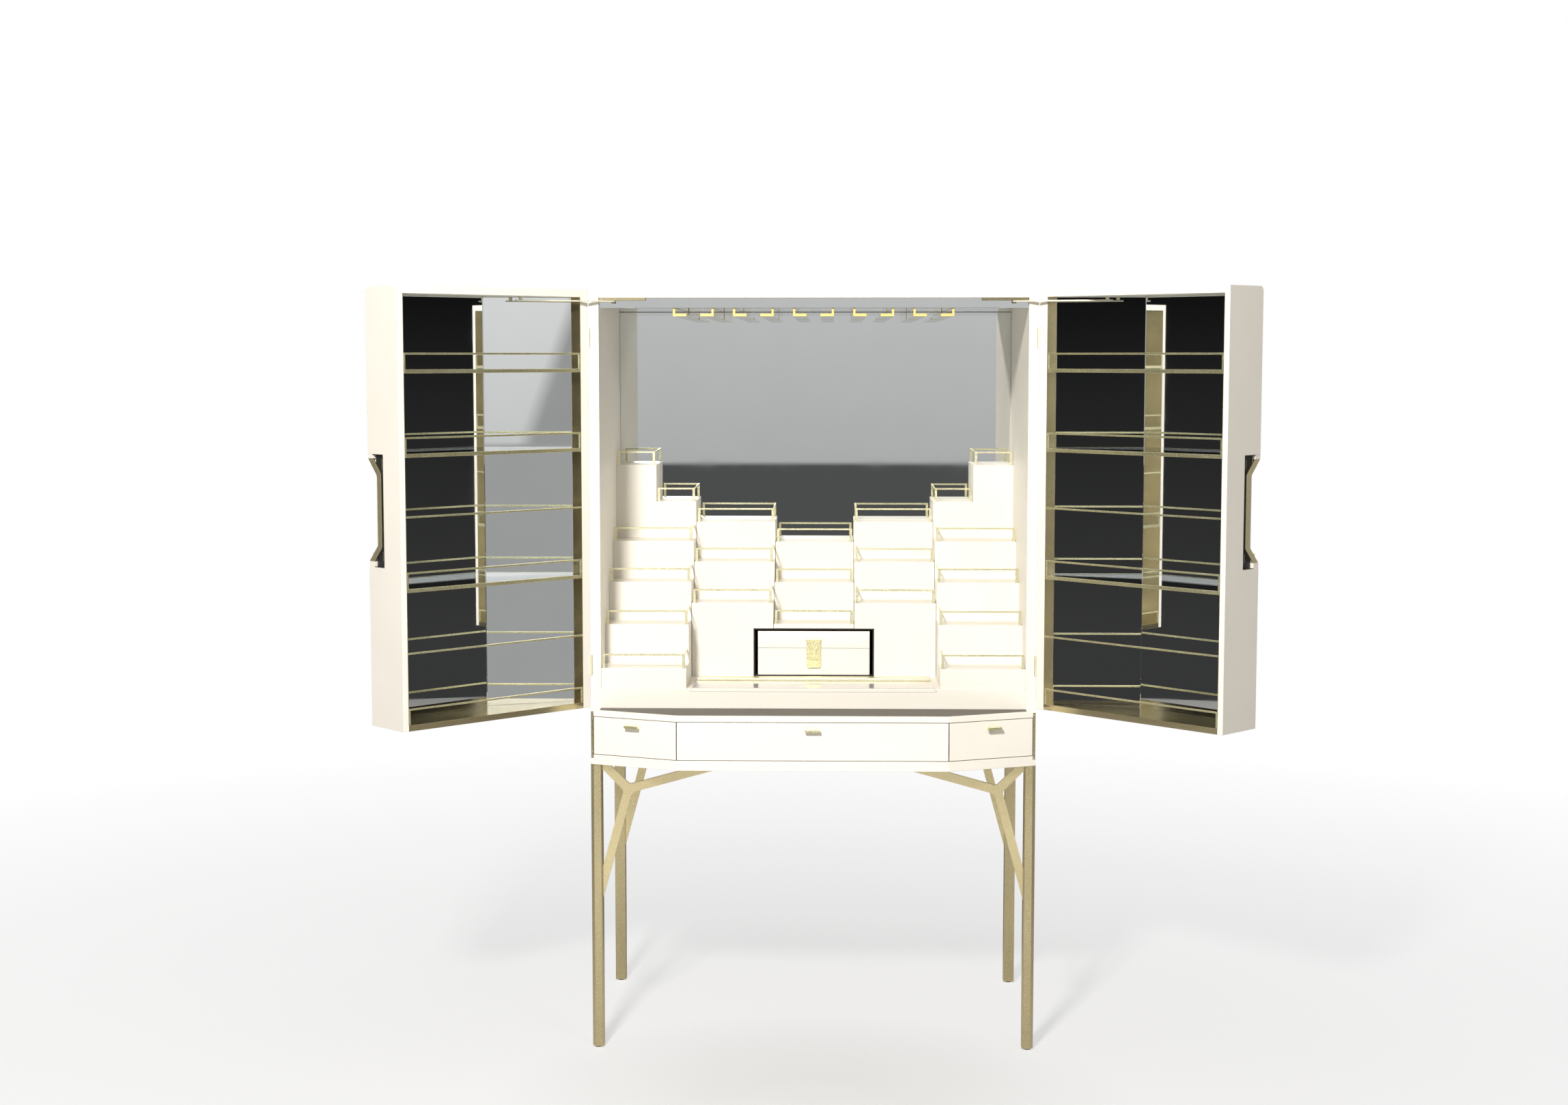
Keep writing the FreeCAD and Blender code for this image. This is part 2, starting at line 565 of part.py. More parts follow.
def make_carcass():
    side = box(INNER_HALF, HALF, 0, DEPTH, Z_CARCASS, Z_CEILING)
    for z in hinge_levels():
        z0 = z - HINGE_HEIGHT / 2
        recess = rod(KNUCKLE_RADIUS + KNUCKLE_RECESS, FreeCAD.Vector(HALF, 0, z0), Z_AXIS, HINGE_HEIGHT)
        side = side.cut(recess).cut(carcass_leaf(z0))
    put("carcass_sides", both_sides([side]))

    z_recess = Z_FLOOR - SHELF_BOARD - SHELF_CLEARANCE
    recess = box(-SHELF_HALF - SHELF_CLEARANCE, SHELF_HALF + SHELF_CLEARANCE,
                 0, SHELF_DEPTH + SHELF_CLEARANCE, z_recess, Z_FLOOR)
    groove_half = SHELF_HALF + SHELF_TONGUE + SHELF_CLEARANCE
    groove = box(-groove_half, groove_half, 0, SHELF_DEPTH + SHELF_CLEARANCE,
                 z_recess, z_recess + SHELF_TONGUE_HEIGHT + 2 * SHELF_CLEARANCE)
    bottom = box(-INNER_HALF, INNER_HALF, 0, Y_BACK_PANEL, Z_CARCASS, Z_FLOOR)
    put("carcass_bottom", [bottom.cut(recess).cut(groove)])
    put("carcass_top", [box(-HALF, HALF, 0, DEPTH, Z_CEILING, Z_TOP)])
    put("carcass_back", [box(-INNER_HALF, INNER_HALF, Y_BACK_PANEL, DEPTH, Z_CARCASS, Z_CEILING)])

    backer_front = Y_MIRROR + MIRROR_THICKNESS
    y_rim = backer_front + BACKER_SKIN
    x_rim = INNER_HALF - BACKER_RIM
    board = box(-INNER_HALF, INNER_HALF, backer_front, y_rim, Z_FLOOR, Z_CEILING)
    battens = both_sides([box(x_rim, INNER_HALF, y_rim, Y_BACK_PANEL, Z_FLOOR, Z_CEILING)])
    for z0 in (Z_FLOOR, Z_CEILING - BACKER_RIM):
        battens.append(box(-x_rim, x_rim, y_rim, Y_BACK_PANEL, z0, z0 + BACKER_RIM))
    put("mirror_backer", [board] + battens)
    put("back_mirror", [box(-INNER_HALF, INNER_HALF, Y_MIRROR, backer_front, Z_FLOOR, Z_SOFFIT)])
    fascia_back = SOFFIT_SETBACK + FASCIA_THICKNESS
    fascia = box(-INNER_HALF, INNER_HALF, SOFFIT_SETBACK, fascia_back, Z_SOFFIT, Z_CEILING)
    ceiling = box(-INNER_HALF, INNER_HALF, fascia_back, backer_front, Z_SOFFIT, Z_SOFFIT + SOFFIT_BOARD)
    put("soffit", [fascia, ceiling])


def make_glass_racks():
    rails = []
    y0 = RACK_SETBACK
    y1 = Y_MIRROR - RACK_BACK_GAP
    z0 = Z_SOFFIT - RACK_HEIGHT
    outer = RACK_WIDTH / 2
    inner = RACK_SLOT / 2
    web = outer - RACK_WEB
    profile = [(inner, z0), (outer, z0), (outer, Z_SOFFIT), (web, Z_SOFFIT), (web, z0 + RACK_FOOT),
               (inner, z0 + RACK_FOOT)]
    for index in range(RACK_COUNT):
        centre = (index - (RACK_COUNT - 1) / 2) * RACK_PITCH
        for side in (-1, 1):
            rails.append(prism_xz([(centre + side * x, z) for x, z in profile], y0, y1))
    put("glass_racks", rails)


# ---------------------------------------------------------------- stepped display
def step_face(index):
    """Front face of a step's riser; the first stands a little behind the carcass front."""
    return STEP_FIRST_FACE if index == 0 else index * STEP_DEPTH


def step_top(index, drop):
    return Z_FLOOR + OUTER_FIRST_RISE + index * STEP_RISE - drop


def step_back(index):
    """How far back a tread runs: under the next riser, or to the mirror."""
    return Y_MIRROR if index == STEP_COUNT - 1 else step_face(index + 1) + PANEL


def column(x0, x1, first, last, drop, z_foot, cheek_in, cheek_out):
    """Treads, risers and cheeks of one column; z_foot is where its first riser stands."""
    solids = []
    for index in range(first, last + 1):
        y0 = step_face(index)
        y1 = step_back(index)
        z1 = step_top(index, drop)
        z_below = z_foot if index == first else step_top(index - 1, drop)
        solids.append(box(x0, x1, y0, y1, z1 - PANEL, z1))
        solids.append(box(x0, x1, y0, y0 + PANEL, z_below, z1 - PANEL))
        for wanted, c0 in ((cheek_in, x0), (cheek_out, x1 - PANEL)):
            if wanted:
                solids.append(box(c0, c0 + PANEL, y0 + PANEL, y1, Z_FLOOR, z1 - PANEL))
    return solids


def gallery(x0, x1, index, z_top, open_in):
    """Strips around a tread: a bar along the front, a post at each end, and a return at the open end."""
    y0 = step_face(index)
    y1 = Y_MIRROR if index == STEP_COUNT - 1 else step_face(index + 1)
    a = x0 + RAIL_INSET
    b = x1 - RAIL_INSET
    z0 = z_top + RAIL_RISE - RAIL_BAR / 2
    z1 = z_top + RAIL_RISE + RAIL_BAR / 2
    strips = [box(a, b, y0, y0 + RAIL_THICKNESS, z0, z1)]
    for post in (a, b - RAIL_POST):
        strips.append(box(post, post + RAIL_POST, y0, y0 + RAIL_THICKNESS, z_top, z0))
    if open_in:
        strips.append(box(a, a + RAIL_THICKNESS, y0 + RAIL_THICKNESS, y1, z0, z1))
    return strips


def make_steps():
    last = STEP_COUNT - 1
    drop = INNER_DROP
    outer = column(OUTER_COLUMN_IN, INNER_HALF, 0, last - 1, 0, Z_FLOOR, True, False)
    z_last = step_top(last - 1, 0)
    outer += column(OUTER_COLUMN_IN, OUTER_SPLIT, last, last, 0, z_last, True, False)
    outer += column(OUTER_SPLIT, INNER_HALF, last, last, -STEP_RISE, z_last, True, False)
    put("steps_outer", both_sides(outer))

    x_in = INNER_COLUMN_IN
    x_out = OUTER_COLUMN_IN - COLUMN_GAP
    first = FIRST_INNER_STEP
    z_niche = step_top(first, 2 * drop) - PANEL
    y0 = step_face(first)
    inner = column(x_in, x_out, first, last, drop, z_niche, False, False)
    # Below the niche's head the first riser stands only beside the niche.
    inner.append(box(NICHE_HALF, x_out, y0, y0 + PANEL, Z_FLOOR, z_niche))
    # Cheeks above the centre column, which each inner column shows to it.
    for index in range(first, last + 1):
        z_seat = step_top(index, 2 * drop) - PANEL
        inner.append(box(x_in, x_in + PANEL, step_face(index) + PANEL, step_back(index),
                         z_seat, step_top(index, drop) - PANEL))
    put("steps_inner", both_sides(inner))

    x_mid = x_in - COLUMN_GAP
    centre = []
    for index in range(first, last + 1):
        z_top = step_top(index, 2 * drop)
        y_front = step_face(index)
        centre.append(box(-x_mid, x_mid, y_front, step_back(index), z_top - PANEL, z_top))
        if index > first:
            z_below = step_top(index - 1, 2 * drop)
            centre.append(box(-x_mid, x_mid, y_front, y_front + PANEL, z_below, z_top - PANEL))
    put("steps_centre", centre)

    z_head = z_niche - NICHE_LINING
    liner = tray(-NICHE_HALF, NICHE_HALF, y0, y0 + NICHE_DEPTH, Z_FLOOR, z_head, NICHE_LINING, True, True)
    head = box(-NICHE_HALF, NICHE_HALF, y0, y0 + NICHE_DEPTH, z_head, z_niche)
    put("niche_liner", liner + [head])

    sides = []
    middle = []
    for index in range(last):
        sides += gallery(OUTER_COLUMN_IN, INNER_HALF, index, step_top(index, 0), True)
    sides += gallery(OUTER_COLUMN_IN, OUTER_SPLIT, last, step_top(last, 0), True)
    sides += gallery(OUTER_SPLIT, INNER_HALF, last, step_top(last, -STEP_RISE), True)
    for index in range(first, last + 1):
        sides += gallery(x_in, x_out, index, step_top(index, drop), True)
        middle += gallery(-x_mid, x_mid, index, step_top(index, 2 * drop), False)
    put("step_rails", both_sides(sides) + middle)


# ---------------------------------------------------------------- case and serving shelf
def make_case():
    y0 = step_face(FIRST_INNER_STEP) + CASE_SETBACK
    y1 = y0 + CASE_DEPTH
    z0 = Z_FLOOR + NICHE_LINING + CASE_CLEARANCE
    z1 = z0 + CASE_BODY_HEIGHT
    z2 = z1 + CASE_LID_HEIGHT
    put("case_body", tray(-CASE_HALF, CASE_HALF, y0, y1, z0, z1, CASE_WALL, True, False))

    # The hasp hangs from a pin between two lugs on the lid's face.
    axis_y = y0 - HASP_KNUCKLE
    axis_z = z2 - HASP_TOP_MARGIN
    span = HASP_HALF + CASE_CLEARANCE + HASP_LUG
    pin = rod(HASP_PIN, FreeCAD.Vector(-span, axis_y, axis_z), X_AXIS, 2 * span)
    lid = tray(-CASE_HALF, CASE_HALF, y0, y1, z1, z2, CASE_WALL, False, False)
    for x0 in (-span, span - HASP_LUG):
        lug = box(x0, x0 + HASP_LUG, axis_y, y0, axis_z - HASP_KNUCKLE, axis_z + HASP_KNUCKLE)
        lug = lug.fuse(rod(HASP_KNUCKLE, FreeCAD.Vector(x0, axis_y, axis_z), X_AXIS, HASP_LUG)).removeSplitter()
        lid.append(lug.cut(pin))
    put("case_lid", lid + [pin])

    plate = box(-HASP_HALF, HASP_HALF, axis_y - HASP_THICKNESS / 2, axis_y + HASP_THICKNESS / 2,
                axis_z - HASP_LENGTH, axis_z)
    knuckle = rod(HASP_KNUCKLE - CASE_CLEARANCE, FreeCAD.Vector(-HASP_HALF, axis_y, axis_z), X_AXIS, 2 * HASP_HALF)
    bore = rod(HASP_PIN + FIT_CLEARANCE, FreeCAD.Vector(-span, axis_y, axis_z), X_AXIS, 2 * span)
    put("case_hasp", [plate.fuse(knuckle).cut(bore).removeSplitter()])


def make_serving_shelf():
    z0 = Z_FLOOR - SHELF_BOARD
    board = box(-SHELF_HALF, SHELF_HALF, 0, SHELF_DEPTH, z0, Z_FLOOR)
    tongue_half = SHELF_HALF + SHELF_TONGUE
    tongue = box(-tongue_half, tongue_half, 0, SHELF_DEPTH, z0, z0 + SHELF_TONGUE_HEIGHT)
    z_mirror = Z_FLOOR + SHELF_MIRROR
    put("serving_shelf", [board.fuse(tongue).removeSplitter()])
    put("serving_shelf_mirror", [box(-SHELF_HALF, SHELF_HALF, SHELF_MIRROR_SETBACK, SHELF_DEPTH, Z_FLOOR, z_mirror)])
    bar_half = SHELF_HALF - SHELF_BAR_INSET
    put("serving_shelf_bar", [box(-bar_half, bar_half, SHELF_BAR_FRONT, SHELF_BAR_FRONT + SHELF_BAR_DEPTH,
                                  z_mirror, z_mirror + SHELF_BAR_HEIGHT)])


# ---------------------------------------------------------------- hinges and stays
def knuckle_spans(z_mid):
    """Lower, middle and upper knuckles: the outer two are the carcass's, the middle one is the door's."""
    z0 = z_mid - HINGE_HEIGHT / 2
    third = HINGE_HEIGHT / 3
    return [(z0 + index * third, z0 + (index + 1) * third) for index in range(3)]


def make_fixed_hinges():
    solids = []
    for z_mid in hinge_levels():
        low, middle, high = knuckle_spans(z_mid)
        hinge = carcass_leaf(low[0])
        for z0, z1 in (low, high):
            hinge = hinge.fuse(rod(KNUCKLE_RADIUS, FreeCAD.Vector(HALF, 0, z0), Z_AXIS, z1 - z0))
        room = rod(KNUCKLE_RADIUS + KNUCKLE_GAP, FreeCAD.Vector(HALF, 0, middle[0] - KNUCKLE_GAP), Z_AXIS,
                   middle[1] - middle[0] + 2 * KNUCKLE_GAP)
        pin = rod(PIN_RADIUS, FreeCAD.Vector(HALF, 0, low[0]), Z_AXIS, high[1] - low[0])
        solids.append(hinge.cut(room).fuse(pin).removeSplitter())
    put("hinges_fixed", both_sides(solids))


def stay_levels():
    """Top and underside of the stay rod, just below its track."""
    z1 = Z_CEILING - TRACK_HEIGHT - STAY_CLEARANCE
    return z1, z1 - STAY_THICKNESS


def make_stay_tracks():
    x1 = INNER_HALF - TRACK_SIDE_GAP
    track = box(x1 - TRACK_LENGTH, x1, TRACK_SETBACK, TRACK_SETBACK + TRACK_DEPTH,
                Z_CEILING - TRACK_HEIGHT, Z_CEILING)
    z_rod_top, z_rod_under = stay_levels()
    z_head = z_rod_under - STAY_CLEARANCE
    pivot = FreeCAD.Vector(STAY_PIVOT_X, STAY_PIVOT_Y, z_head)
    pin = rod(STAY_PIN_RADIUS, pivot, Z_AXIS, Z_CEILING - TRACK_HEIGHT - z_head)
    head = rod(STAY_HEAD_RADIUS, pivot - Z_AXIS * STAY_HEAD_HEIGHT, Z_AXIS, STAY_HEAD_HEIGHT)
    put("stay_tracks", both_sides([track.fuse(pin).fuse(head).removeSplitter()]))


def guide_place(angle):
    """Guide stud's place on the right-hand side with the door swung open by this angle."""
    turn = math.radians(angle)
    x = HALF - GUIDE_U * math.cos(turn) + GUIDE_V * math.sin(turn)
    y = -GUIDE_U * math.sin(turn) - GUIDE_V * math.cos(turn)
    return x, y


def make_stay_rods():
    x, y = guide_place(OPEN_ANGLE)
    direction = math.degrees(math.atan2(y - STAY_PIVOT_Y, x - STAY_PIVOT_X))
    z1, z0 = stay_levels()
    bar = box(0, STAY_LENGTH, -STAY_WIDTH / 2, STAY_WIDTH / 2, z0, z1)
    eye = rod(STAY_WIDTH / 2, FreeCAD.Vector(0, 0, z0), Z_AXIS, z1 - z0)
    hole = rod(STAY_PIN_RADIUS + FIT_CLEARANCE, FreeCAD.Vector(0, 0, z0), Z_AXIS, z1 - z0)
    stay = bar.fuse(eye).removeSplitter().cut(hole)
    stay.rotate(ORIGIN, Z_AXIS, direction)
    stay.translate(FreeCAD.Vector(STAY_PIVOT_X, STAY_PIVOT_Y, 0))
    put("stay_rod_right", [stay])
    put("stay_rod_left", [mirrored(stay)])


# ---------------------------------------------------------------- doors
# u runs along the closed right-hand door from its hinge pin to the middle of the cabinet,
# v runs outwards from the hinge plane.
def door_prism(points, z0, z1):
    return prism_xy([(HALF - u, -v) for u, v in points], z0, z1)


def door_box(u0, u1, v0, v1, z0, z1):
    return box(HALF - u1, HALF - u0, -v1, -v0, z0, z1)


def line_v(start, end, u):
    """v at u on the straight line through two (u, v) points."""
    return start[1] + (end[1] - start[1]) * (u - start[0]) / (end[0] - start[0])


def door_leaf(z0):
    """Hinge leaf that stands in a slot in the hinge stile's edge."""
    u1 = KNUCKLE_RADIUS
    return door_box(u1 - LEAF_THICKNESS, u1, DOOR_TO_CARCASS, DOOR_TO_CARCASS + LEAF_WIDTH, z0, z0 + HINGE_HEIGHT)


MIRROR_START = (CAVITY_START, MIRROR_HINGE_DEPTH)
MIRROR_BEND = (MIRROR_FOLD, MIRROR_DEPTH)
MIRROR_END = (CAVITY_END, MIRROR_DEPTH)
MIRROR_CANT = math.atan2(MIRROR_DEPTH - MIRROR_HINGE_DEPTH, MIRROR_FOLD - CAVITY_START)
SKIN_START = (CAVITY_START, MIRROR_HINGE_DEPTH + MIRROR_THICKNESS / math.cos(MIRROR_CANT))
SKIN_BEND = (MIRROR_FOLD - MIRROR_THICKNESS * math.tan(MIRROR_CANT / 2), MIRROR_DEPTH + MIRROR_THICKNESS)
SKIN_END = (CAVITY_END, MIRROR_DEPTH + MIRROR_THICKNESS)
FACE_START = (DOOR_SIDE_GAP, DOOR_HINGE_OUTER)
FACE_BEND = (DOOR_FOLD, DOOR_OUTER)
FACE_END = (DOOR_LENGTH, DOOR_OUTER)


def top_chamfer(start, end):
    """Room cut along the door's top outer edge, over the face between two (u, v) points."""
    along = FreeCAD.Vector(start[0] - end[0], start[1] - end[1], 0)
    length = along.Length
    along.normalize()
    out = FreeCAD.Vector(-along.y, along.x, 0)
    overrun = 3 * DOOR_CHAMFER
    corner = FreeCAD.Vector(HALF - start[0], -start[1], Z_TOP) - along * overrun
    profile = [(1, -DOOR_CHAMFER - 1), (1, 1), (-DOOR_CHAMFER - 1, 1)]
    points = [corner + out * outward + Z_AXIS * up for outward, up in profile]
    return prism(points, ORIGIN, along * (length + 2 * overrun))


def door_shell():
    v0 = DOOR_TO_CARCASS
    u_end = CAVITY_END
    v_at_cavity = line_v(FACE_START, FACE_BEND, CAVITY_START)
    hinge_stile = door_prism([(DOOR_SIDE_GAP, v0), (CAVITY_START, v0), (CAVITY_START, v_at_cavity), FACE_START],
                             Z_DOOR, Z_TOP)
    chamfer = prism_xz([(HALF, Z_TOP), (HALF, Z_TOP - DOOR_CHAMFER - DOOR_SIDE_GAP),
                        (HALF - DOOR_CHAMFER - DOOR_SIDE_GAP, Z_TOP)], -DOOR_OUTER, 0)
    hinge_stile = hinge_stile.cut(chamfer)
    for z in hinge_levels():
        z0 = z - HINGE_HEIGHT / 2
        recess = rod(KNUCKLE_RADIUS + KNUCKLE_RECESS, FreeCAD.Vector(HALF, 0, z0), Z_AXIS, HINGE_HEIGHT)
        hinge_stile = hinge_stile.cut(recess).cut(door_leaf(z0))
    free_stile = door_box(u_end, DOOR_LENGTH, v0, DOOR_OUTER, Z_DOOR, Z_TOP).cut(pocket_block())
    flat_skin = door_prism([FACE_BEND, (u_end, DOOR_OUTER), SKIN_END, SKIN_BEND], Z_DOOR, Z_TOP)
    canted_skin = door_prism([(CAVITY_START, v_at_cavity), FACE_BEND, SKIN_BEND, SKIN_START], Z_DOOR, Z_TOP)
    plan = [(CAVITY_START, v0), (u_end, v0), SKIN_END, SKIN_BEND, SKIN_START]
    top_board = door_prism(plan, Z_DOOR_CEILING, Z_TOP)
    low_plan = [(CAVITY_START, v0 + LINING), (u_end, v0 + LINING), SKIN_END, SKIN_BEND, SKIN_START]
    bottom_board = door_prism(low_plan, Z_DOOR, Z_DOOR_FLOOR)
    edge = top_chamfer(FACE_START, FACE_BEND).fuse(top_chamfer(FACE_BEND, FACE_END))
    faced = [solid.cut(edge) for solid in (hinge_stile, free_stile, flat_skin, canted_skin)]
    return faced + [top_board, bottom_board]


def door_mirrors():
    canted = door_prism([MIRROR_START, MIRROR_BEND, SKIN_BEND, SKIN_START], Z_DOOR_FLOOR, Z_DOOR_CEILING)
    flat = door_prism([MIRROR_BEND, MIRROR_END, SKIN_END, SKIN_BEND], Z_DOOR_FLOOR, Z_DOOR_CEILING)
    return [canted, flat]


def lined_plan(v0):
    """Plan of the door's inside within its linings, from v0 out to the mirrors."""
    u0 = CAVITY_START + LINING
    u1 = CAVITY_END - LINING
    return [(u0, v0), (u1, v0), (u1, MIRROR_DEPTH), MIRROR_BEND, (u0, line_v(MIRROR_START, MIRROR_BEND, u0))]


def door_lining():
    v0 = DOOR_TO_CARCASS
    u0 = CAVITY_START + LINING
    u1 = CAVITY_END - LINING
    hinge_sheet = door_prism([(CAVITY_START, v0), (u0, v0), (u0, line_v(MIRROR_START, MIRROR_BEND, u0)),
                              MIRROR_START], Z_DOOR_FLOOR, Z_DOOR_CEILING)
    free_sheet = door_box(u1, CAVITY_END, v0, MIRROR_DEPTH, Z_DOOR_FLOOR, Z_DOOR_CEILING)
    floor_sheet = door_prism(lined_plan(v0), Z_DOOR_FLOOR, Z_DOOR_FLOOR + LINING)
    front_edge = door_box(CAVITY_START, CAVITY_END, v0, v0 + LINING, Z_DOOR, Z_DOOR_FLOOR)
    return [hinge_sheet, free_sheet, floor_sheet, front_edge]


def shelf_tops():
    return [Z_DOOR + LOW_SHELF, Z_DOOR + MIDDLE_SHELF, Z_DOOR + HIGH_SHELF]


def door_shelves():
    plan = lined_plan(DOOR_TO_CARCASS + SHELF_EDGE)
    return [door_prism(plan, z - GLASS_SHELF, z) for z in shelf_tops()]


def door_rails():
    """Brass edges of the glass shelves, a low rail above every shelf, and guard rails."""
    u0 = CAVITY_START + LINING
    u1 = CAVITY_END - LINING
    v0 = DOOR_TO_CARCASS
    v1 = v0 + DOOR_RAIL
    solids = [door_box(u0, u1, v0, v0 + SHELF_EDGE, z - GLASS_SHELF, z) for z in shelf_tops()]
    for z_seat in [Z_DOOR_FLOOR + LINING] + shelf_tops():
        z = z_seat + LOW_RAIL
        solids.append(door_box(u0, u1, v0, v1, z - DOOR_RAIL / 2, z + DOOR_RAIL / 2))
        for u in (u0, u1 - DOOR_RAIL):
            solids.append(door_box(u, u + DOOR_RAIL, v0, v1, z_seat, z - DOOR_RAIL / 2))
    for height in (LOW_GUARD, HIGH_GUARD):
        z = Z_DOOR + height
        solids.append(door_box(u0, u1, v0, v1, z - DOOR_RAIL / 2, z + DOOR_RAIL / 2))
    return solids


def pocket_block():
    z0 = Z_DOOR + POCKET_LOW
    return door_box(DOOR_LENGTH - POCKET_DEPTH, DOOR_LENGTH, POCKET_BACK, DOOR_OUTER, z0, z0 + POCKET_HEIGHT)


def door_pocket():
    """Thin tray in the pocket, open to the door's edge and face."""
    z0 = Z_DOOR + POCKET_LOW
    lining = POCKET_LINING
    hollow = door_box(DOOR_LENGTH - POCKET_DEPTH + lining, DOOR_LENGTH, POCKET_BACK + lining, DOOR_OUTER,
                      z0 + lining, z0 + POCKET_HEIGHT - lining)
    return [pocket_block().cut(hollow)]


def door_handle():
    """Flat bar bowed into the pocket, standing on a foot at each end."""
    z0 = Z_DOOR + POCKET_LOW + HANDLE_MARGIN_LOW
    z1 = Z_DOOR + POCKET_LOW + POCKET_HEIGHT - HANDLE_MARGIN_HIGH
    v1 = DOOR_OUTER
    v0 = v1 - HANDLE_REACH
    w = HANDLE_WIDTH
    low = z0 + HANDLE_SLOPE_LOW
    high = z1 - HANDLE_SLOPE_HIGH
    outline = [(v1, z0), (v0, low), (v0, high), (v1, z1), (v1, z1 - w - w / 2), (v0 + w, high - w / 3),
               (v0 + w, low + w / 3), (v1, z0 + w + w / 2)]
    y_points = [(-v, z) for v, z in outline]
    x1 = HALF - DOOR_LENGTH + HANDLE_SETBACK
    bar = prism_yz(y_points, x1, x1 + HANDLE_THICKNESS)
    x_seat = HALF - DOOR_LENGTH + POCKET_DEPTH - POCKET_LINING
    low_foot = prism_yz([(-v1, z0), (-v0, low), (-v0 - w, low + w / 3), (-v1, z0 + w + w / 2)],
                        x1 + HANDLE_THICKNESS, x_seat)
    high_foot = prism_yz([(-v1, z1), (-v0, high), (-v0 - w, high - w / 3), (-v1, z1 - w - w / 2)],
                         x1 + HANDLE_THICKNESS, x_seat)
    return [bar.fuse(low_foot).fuse(high_foot).removeSplitter()]


def door_fittings():
    """Door halves of the hinges, and the guide stud above the stay rod."""
    solids = []
    for z_mid in hinge_levels():
        low, middle, high = knuckle_spans(z_mid)
        knuckle = rod(KNUCKLE_RADIUS, FreeCAD.Vector(HALF, 0, middle[0] + KNUCKLE_GAP / 2), Z_AXIS,
                      middle[1] - middle[0] - KNUCKLE_GAP)
        neck = door_box(0, KNUCKLE_RADIUS, 0, DOOR_TO_CARCASS + LEAF_THICKNESS,
                        middle[0] + KNUCKLE_GAP, middle[1] - KNUCKLE_GAP)
        leaf = door_leaf(low[0])
        bore = rod(PIN_RADIUS + FIT_CLEARANCE, FreeCAD.Vector(HALF, 0, low[0]), Z_AXIS, HINGE_HEIGHT)
        for z0, z1 in (low, high):
            room = rod(KNUCKLE_RADIUS + KNUCKLE_GAP, FreeCAD.Vector(HALF, 0, z0 - KNUCKLE_GAP), Z_AXIS,
                       z1 - z0 + 2 * KNUCKLE_GAP)
            leaf = leaf.cut(room)
        solids.append(knuckle.fuse(neck).fuse(leaf).cut(bore).removeSplitter())
    z_rod_top, z_rod_under = stay_levels()
    z_stud = z_rod_top + STAY_CLEARANCE
    stud_foot = FreeCAD.Vector(HALF - GUIDE_U, -GUIDE_V, z_stud)
    solids.append(rod(GUIDE_RADIUS, stud_foot, Z_AXIS, Z_DOOR_CEILING - z_stud))
    return solids


def make_doors():
    pieces = {
        "door_shell": door_shell(),
        "door_mirrors": door_mirrors(),
        "door_lining": door_lining(),
        "door_shelves": door_shelves(),
        "door_rails": door_rails(),
        "door_pocket": door_pocket(),
        "door_handle": door_handle(),
        "door_fittings": door_fittings(),
    }
    pin = FreeCAD.Vector(HALF, 0, 0)
    for name, solids in pieces.items():
        opened = []
        for solid in solids:
            turned = solid.copy()
            turned.rotate(pin, Z_AXIS, OPEN_ANGLE)
            opened.append(turned)
        put(name + "_right", opened)
        put(name + "_left", [mirrored(solid) for solid in opened])


make_legs()
make_braces()
make_base()
make_drawers()
make_carcass()
make_glass_racks()
make_steps()
make_case()
make_serving_shelf()
make_fixed_hinges()
make_stay_tracks()
make_stay_rods()
make_doors()
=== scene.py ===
import math

import bmesh
import bpy
from mathutils import Matrix, Vector


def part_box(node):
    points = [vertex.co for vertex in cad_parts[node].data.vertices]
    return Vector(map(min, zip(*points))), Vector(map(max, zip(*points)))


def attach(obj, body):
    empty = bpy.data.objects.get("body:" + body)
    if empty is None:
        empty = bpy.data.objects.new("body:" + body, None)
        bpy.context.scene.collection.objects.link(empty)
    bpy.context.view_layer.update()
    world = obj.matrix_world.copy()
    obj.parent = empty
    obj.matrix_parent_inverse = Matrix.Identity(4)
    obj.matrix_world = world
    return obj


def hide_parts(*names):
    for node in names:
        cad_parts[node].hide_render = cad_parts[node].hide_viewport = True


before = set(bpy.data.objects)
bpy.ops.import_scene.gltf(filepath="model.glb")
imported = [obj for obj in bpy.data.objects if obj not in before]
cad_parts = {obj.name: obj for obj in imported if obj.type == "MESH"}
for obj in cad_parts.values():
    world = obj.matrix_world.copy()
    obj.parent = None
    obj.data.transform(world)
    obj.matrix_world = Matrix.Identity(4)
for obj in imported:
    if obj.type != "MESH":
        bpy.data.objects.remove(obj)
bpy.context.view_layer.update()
scene = bpy.context.scene
scene.view_settings.view_transform = "Standard"


# -------------------- camera
# A normal lens just above the doors' upper shelves, a little over five metres in front of the
# cabinet and a few centimetres right of its middle. It looks slightly down.
camera = bpy.data.objects.new("camera", bpy.data.cameras.new("camera"))
camera.location = (0.0429, -5.0329, 1.5677)
camera.rotation_euler = (math.pi / 2 - 0.0887, 0, 0.0219)
camera.data.lens = 50.81
camera.data.sensor_width = 36
scene.collection.objects.link(camera)
scene.camera = camera


# -------------------- studio: floor
# A round pale floor that keeps the cabinet's shadow. Seen directly, it carries a painted glow that grows with
# its distance from the cabinet until it meets the white background; the glow is weakest just in front of the
# cabinet, where the lit floor and its shadow show.
FLOOR_RADIUS = 4.6
FLOOR_DROP = 0.0005         # the floor lies this far under the glides
FADE_CENTRE_Y = -0.55
FADE_REACH = 4.4


def shader_tree(owner):
    """Node tree of a material or world, cleared."""
    owner.use_nodes = True
    owner.node_tree.nodes.clear()
    return owner.node_tree


def sums(tree, operation, *values):
    """Math node on sockets or plain numbers."""
    node = tree.nodes.new("ShaderNodeMath")
    node.operation = operation
    for socket, value in zip(node.inputs, values):
        if isinstance(value, (int, float)):
            socket.default_value = value
        else:
            tree.links.new(value, socket)
    return node.outputs[0]


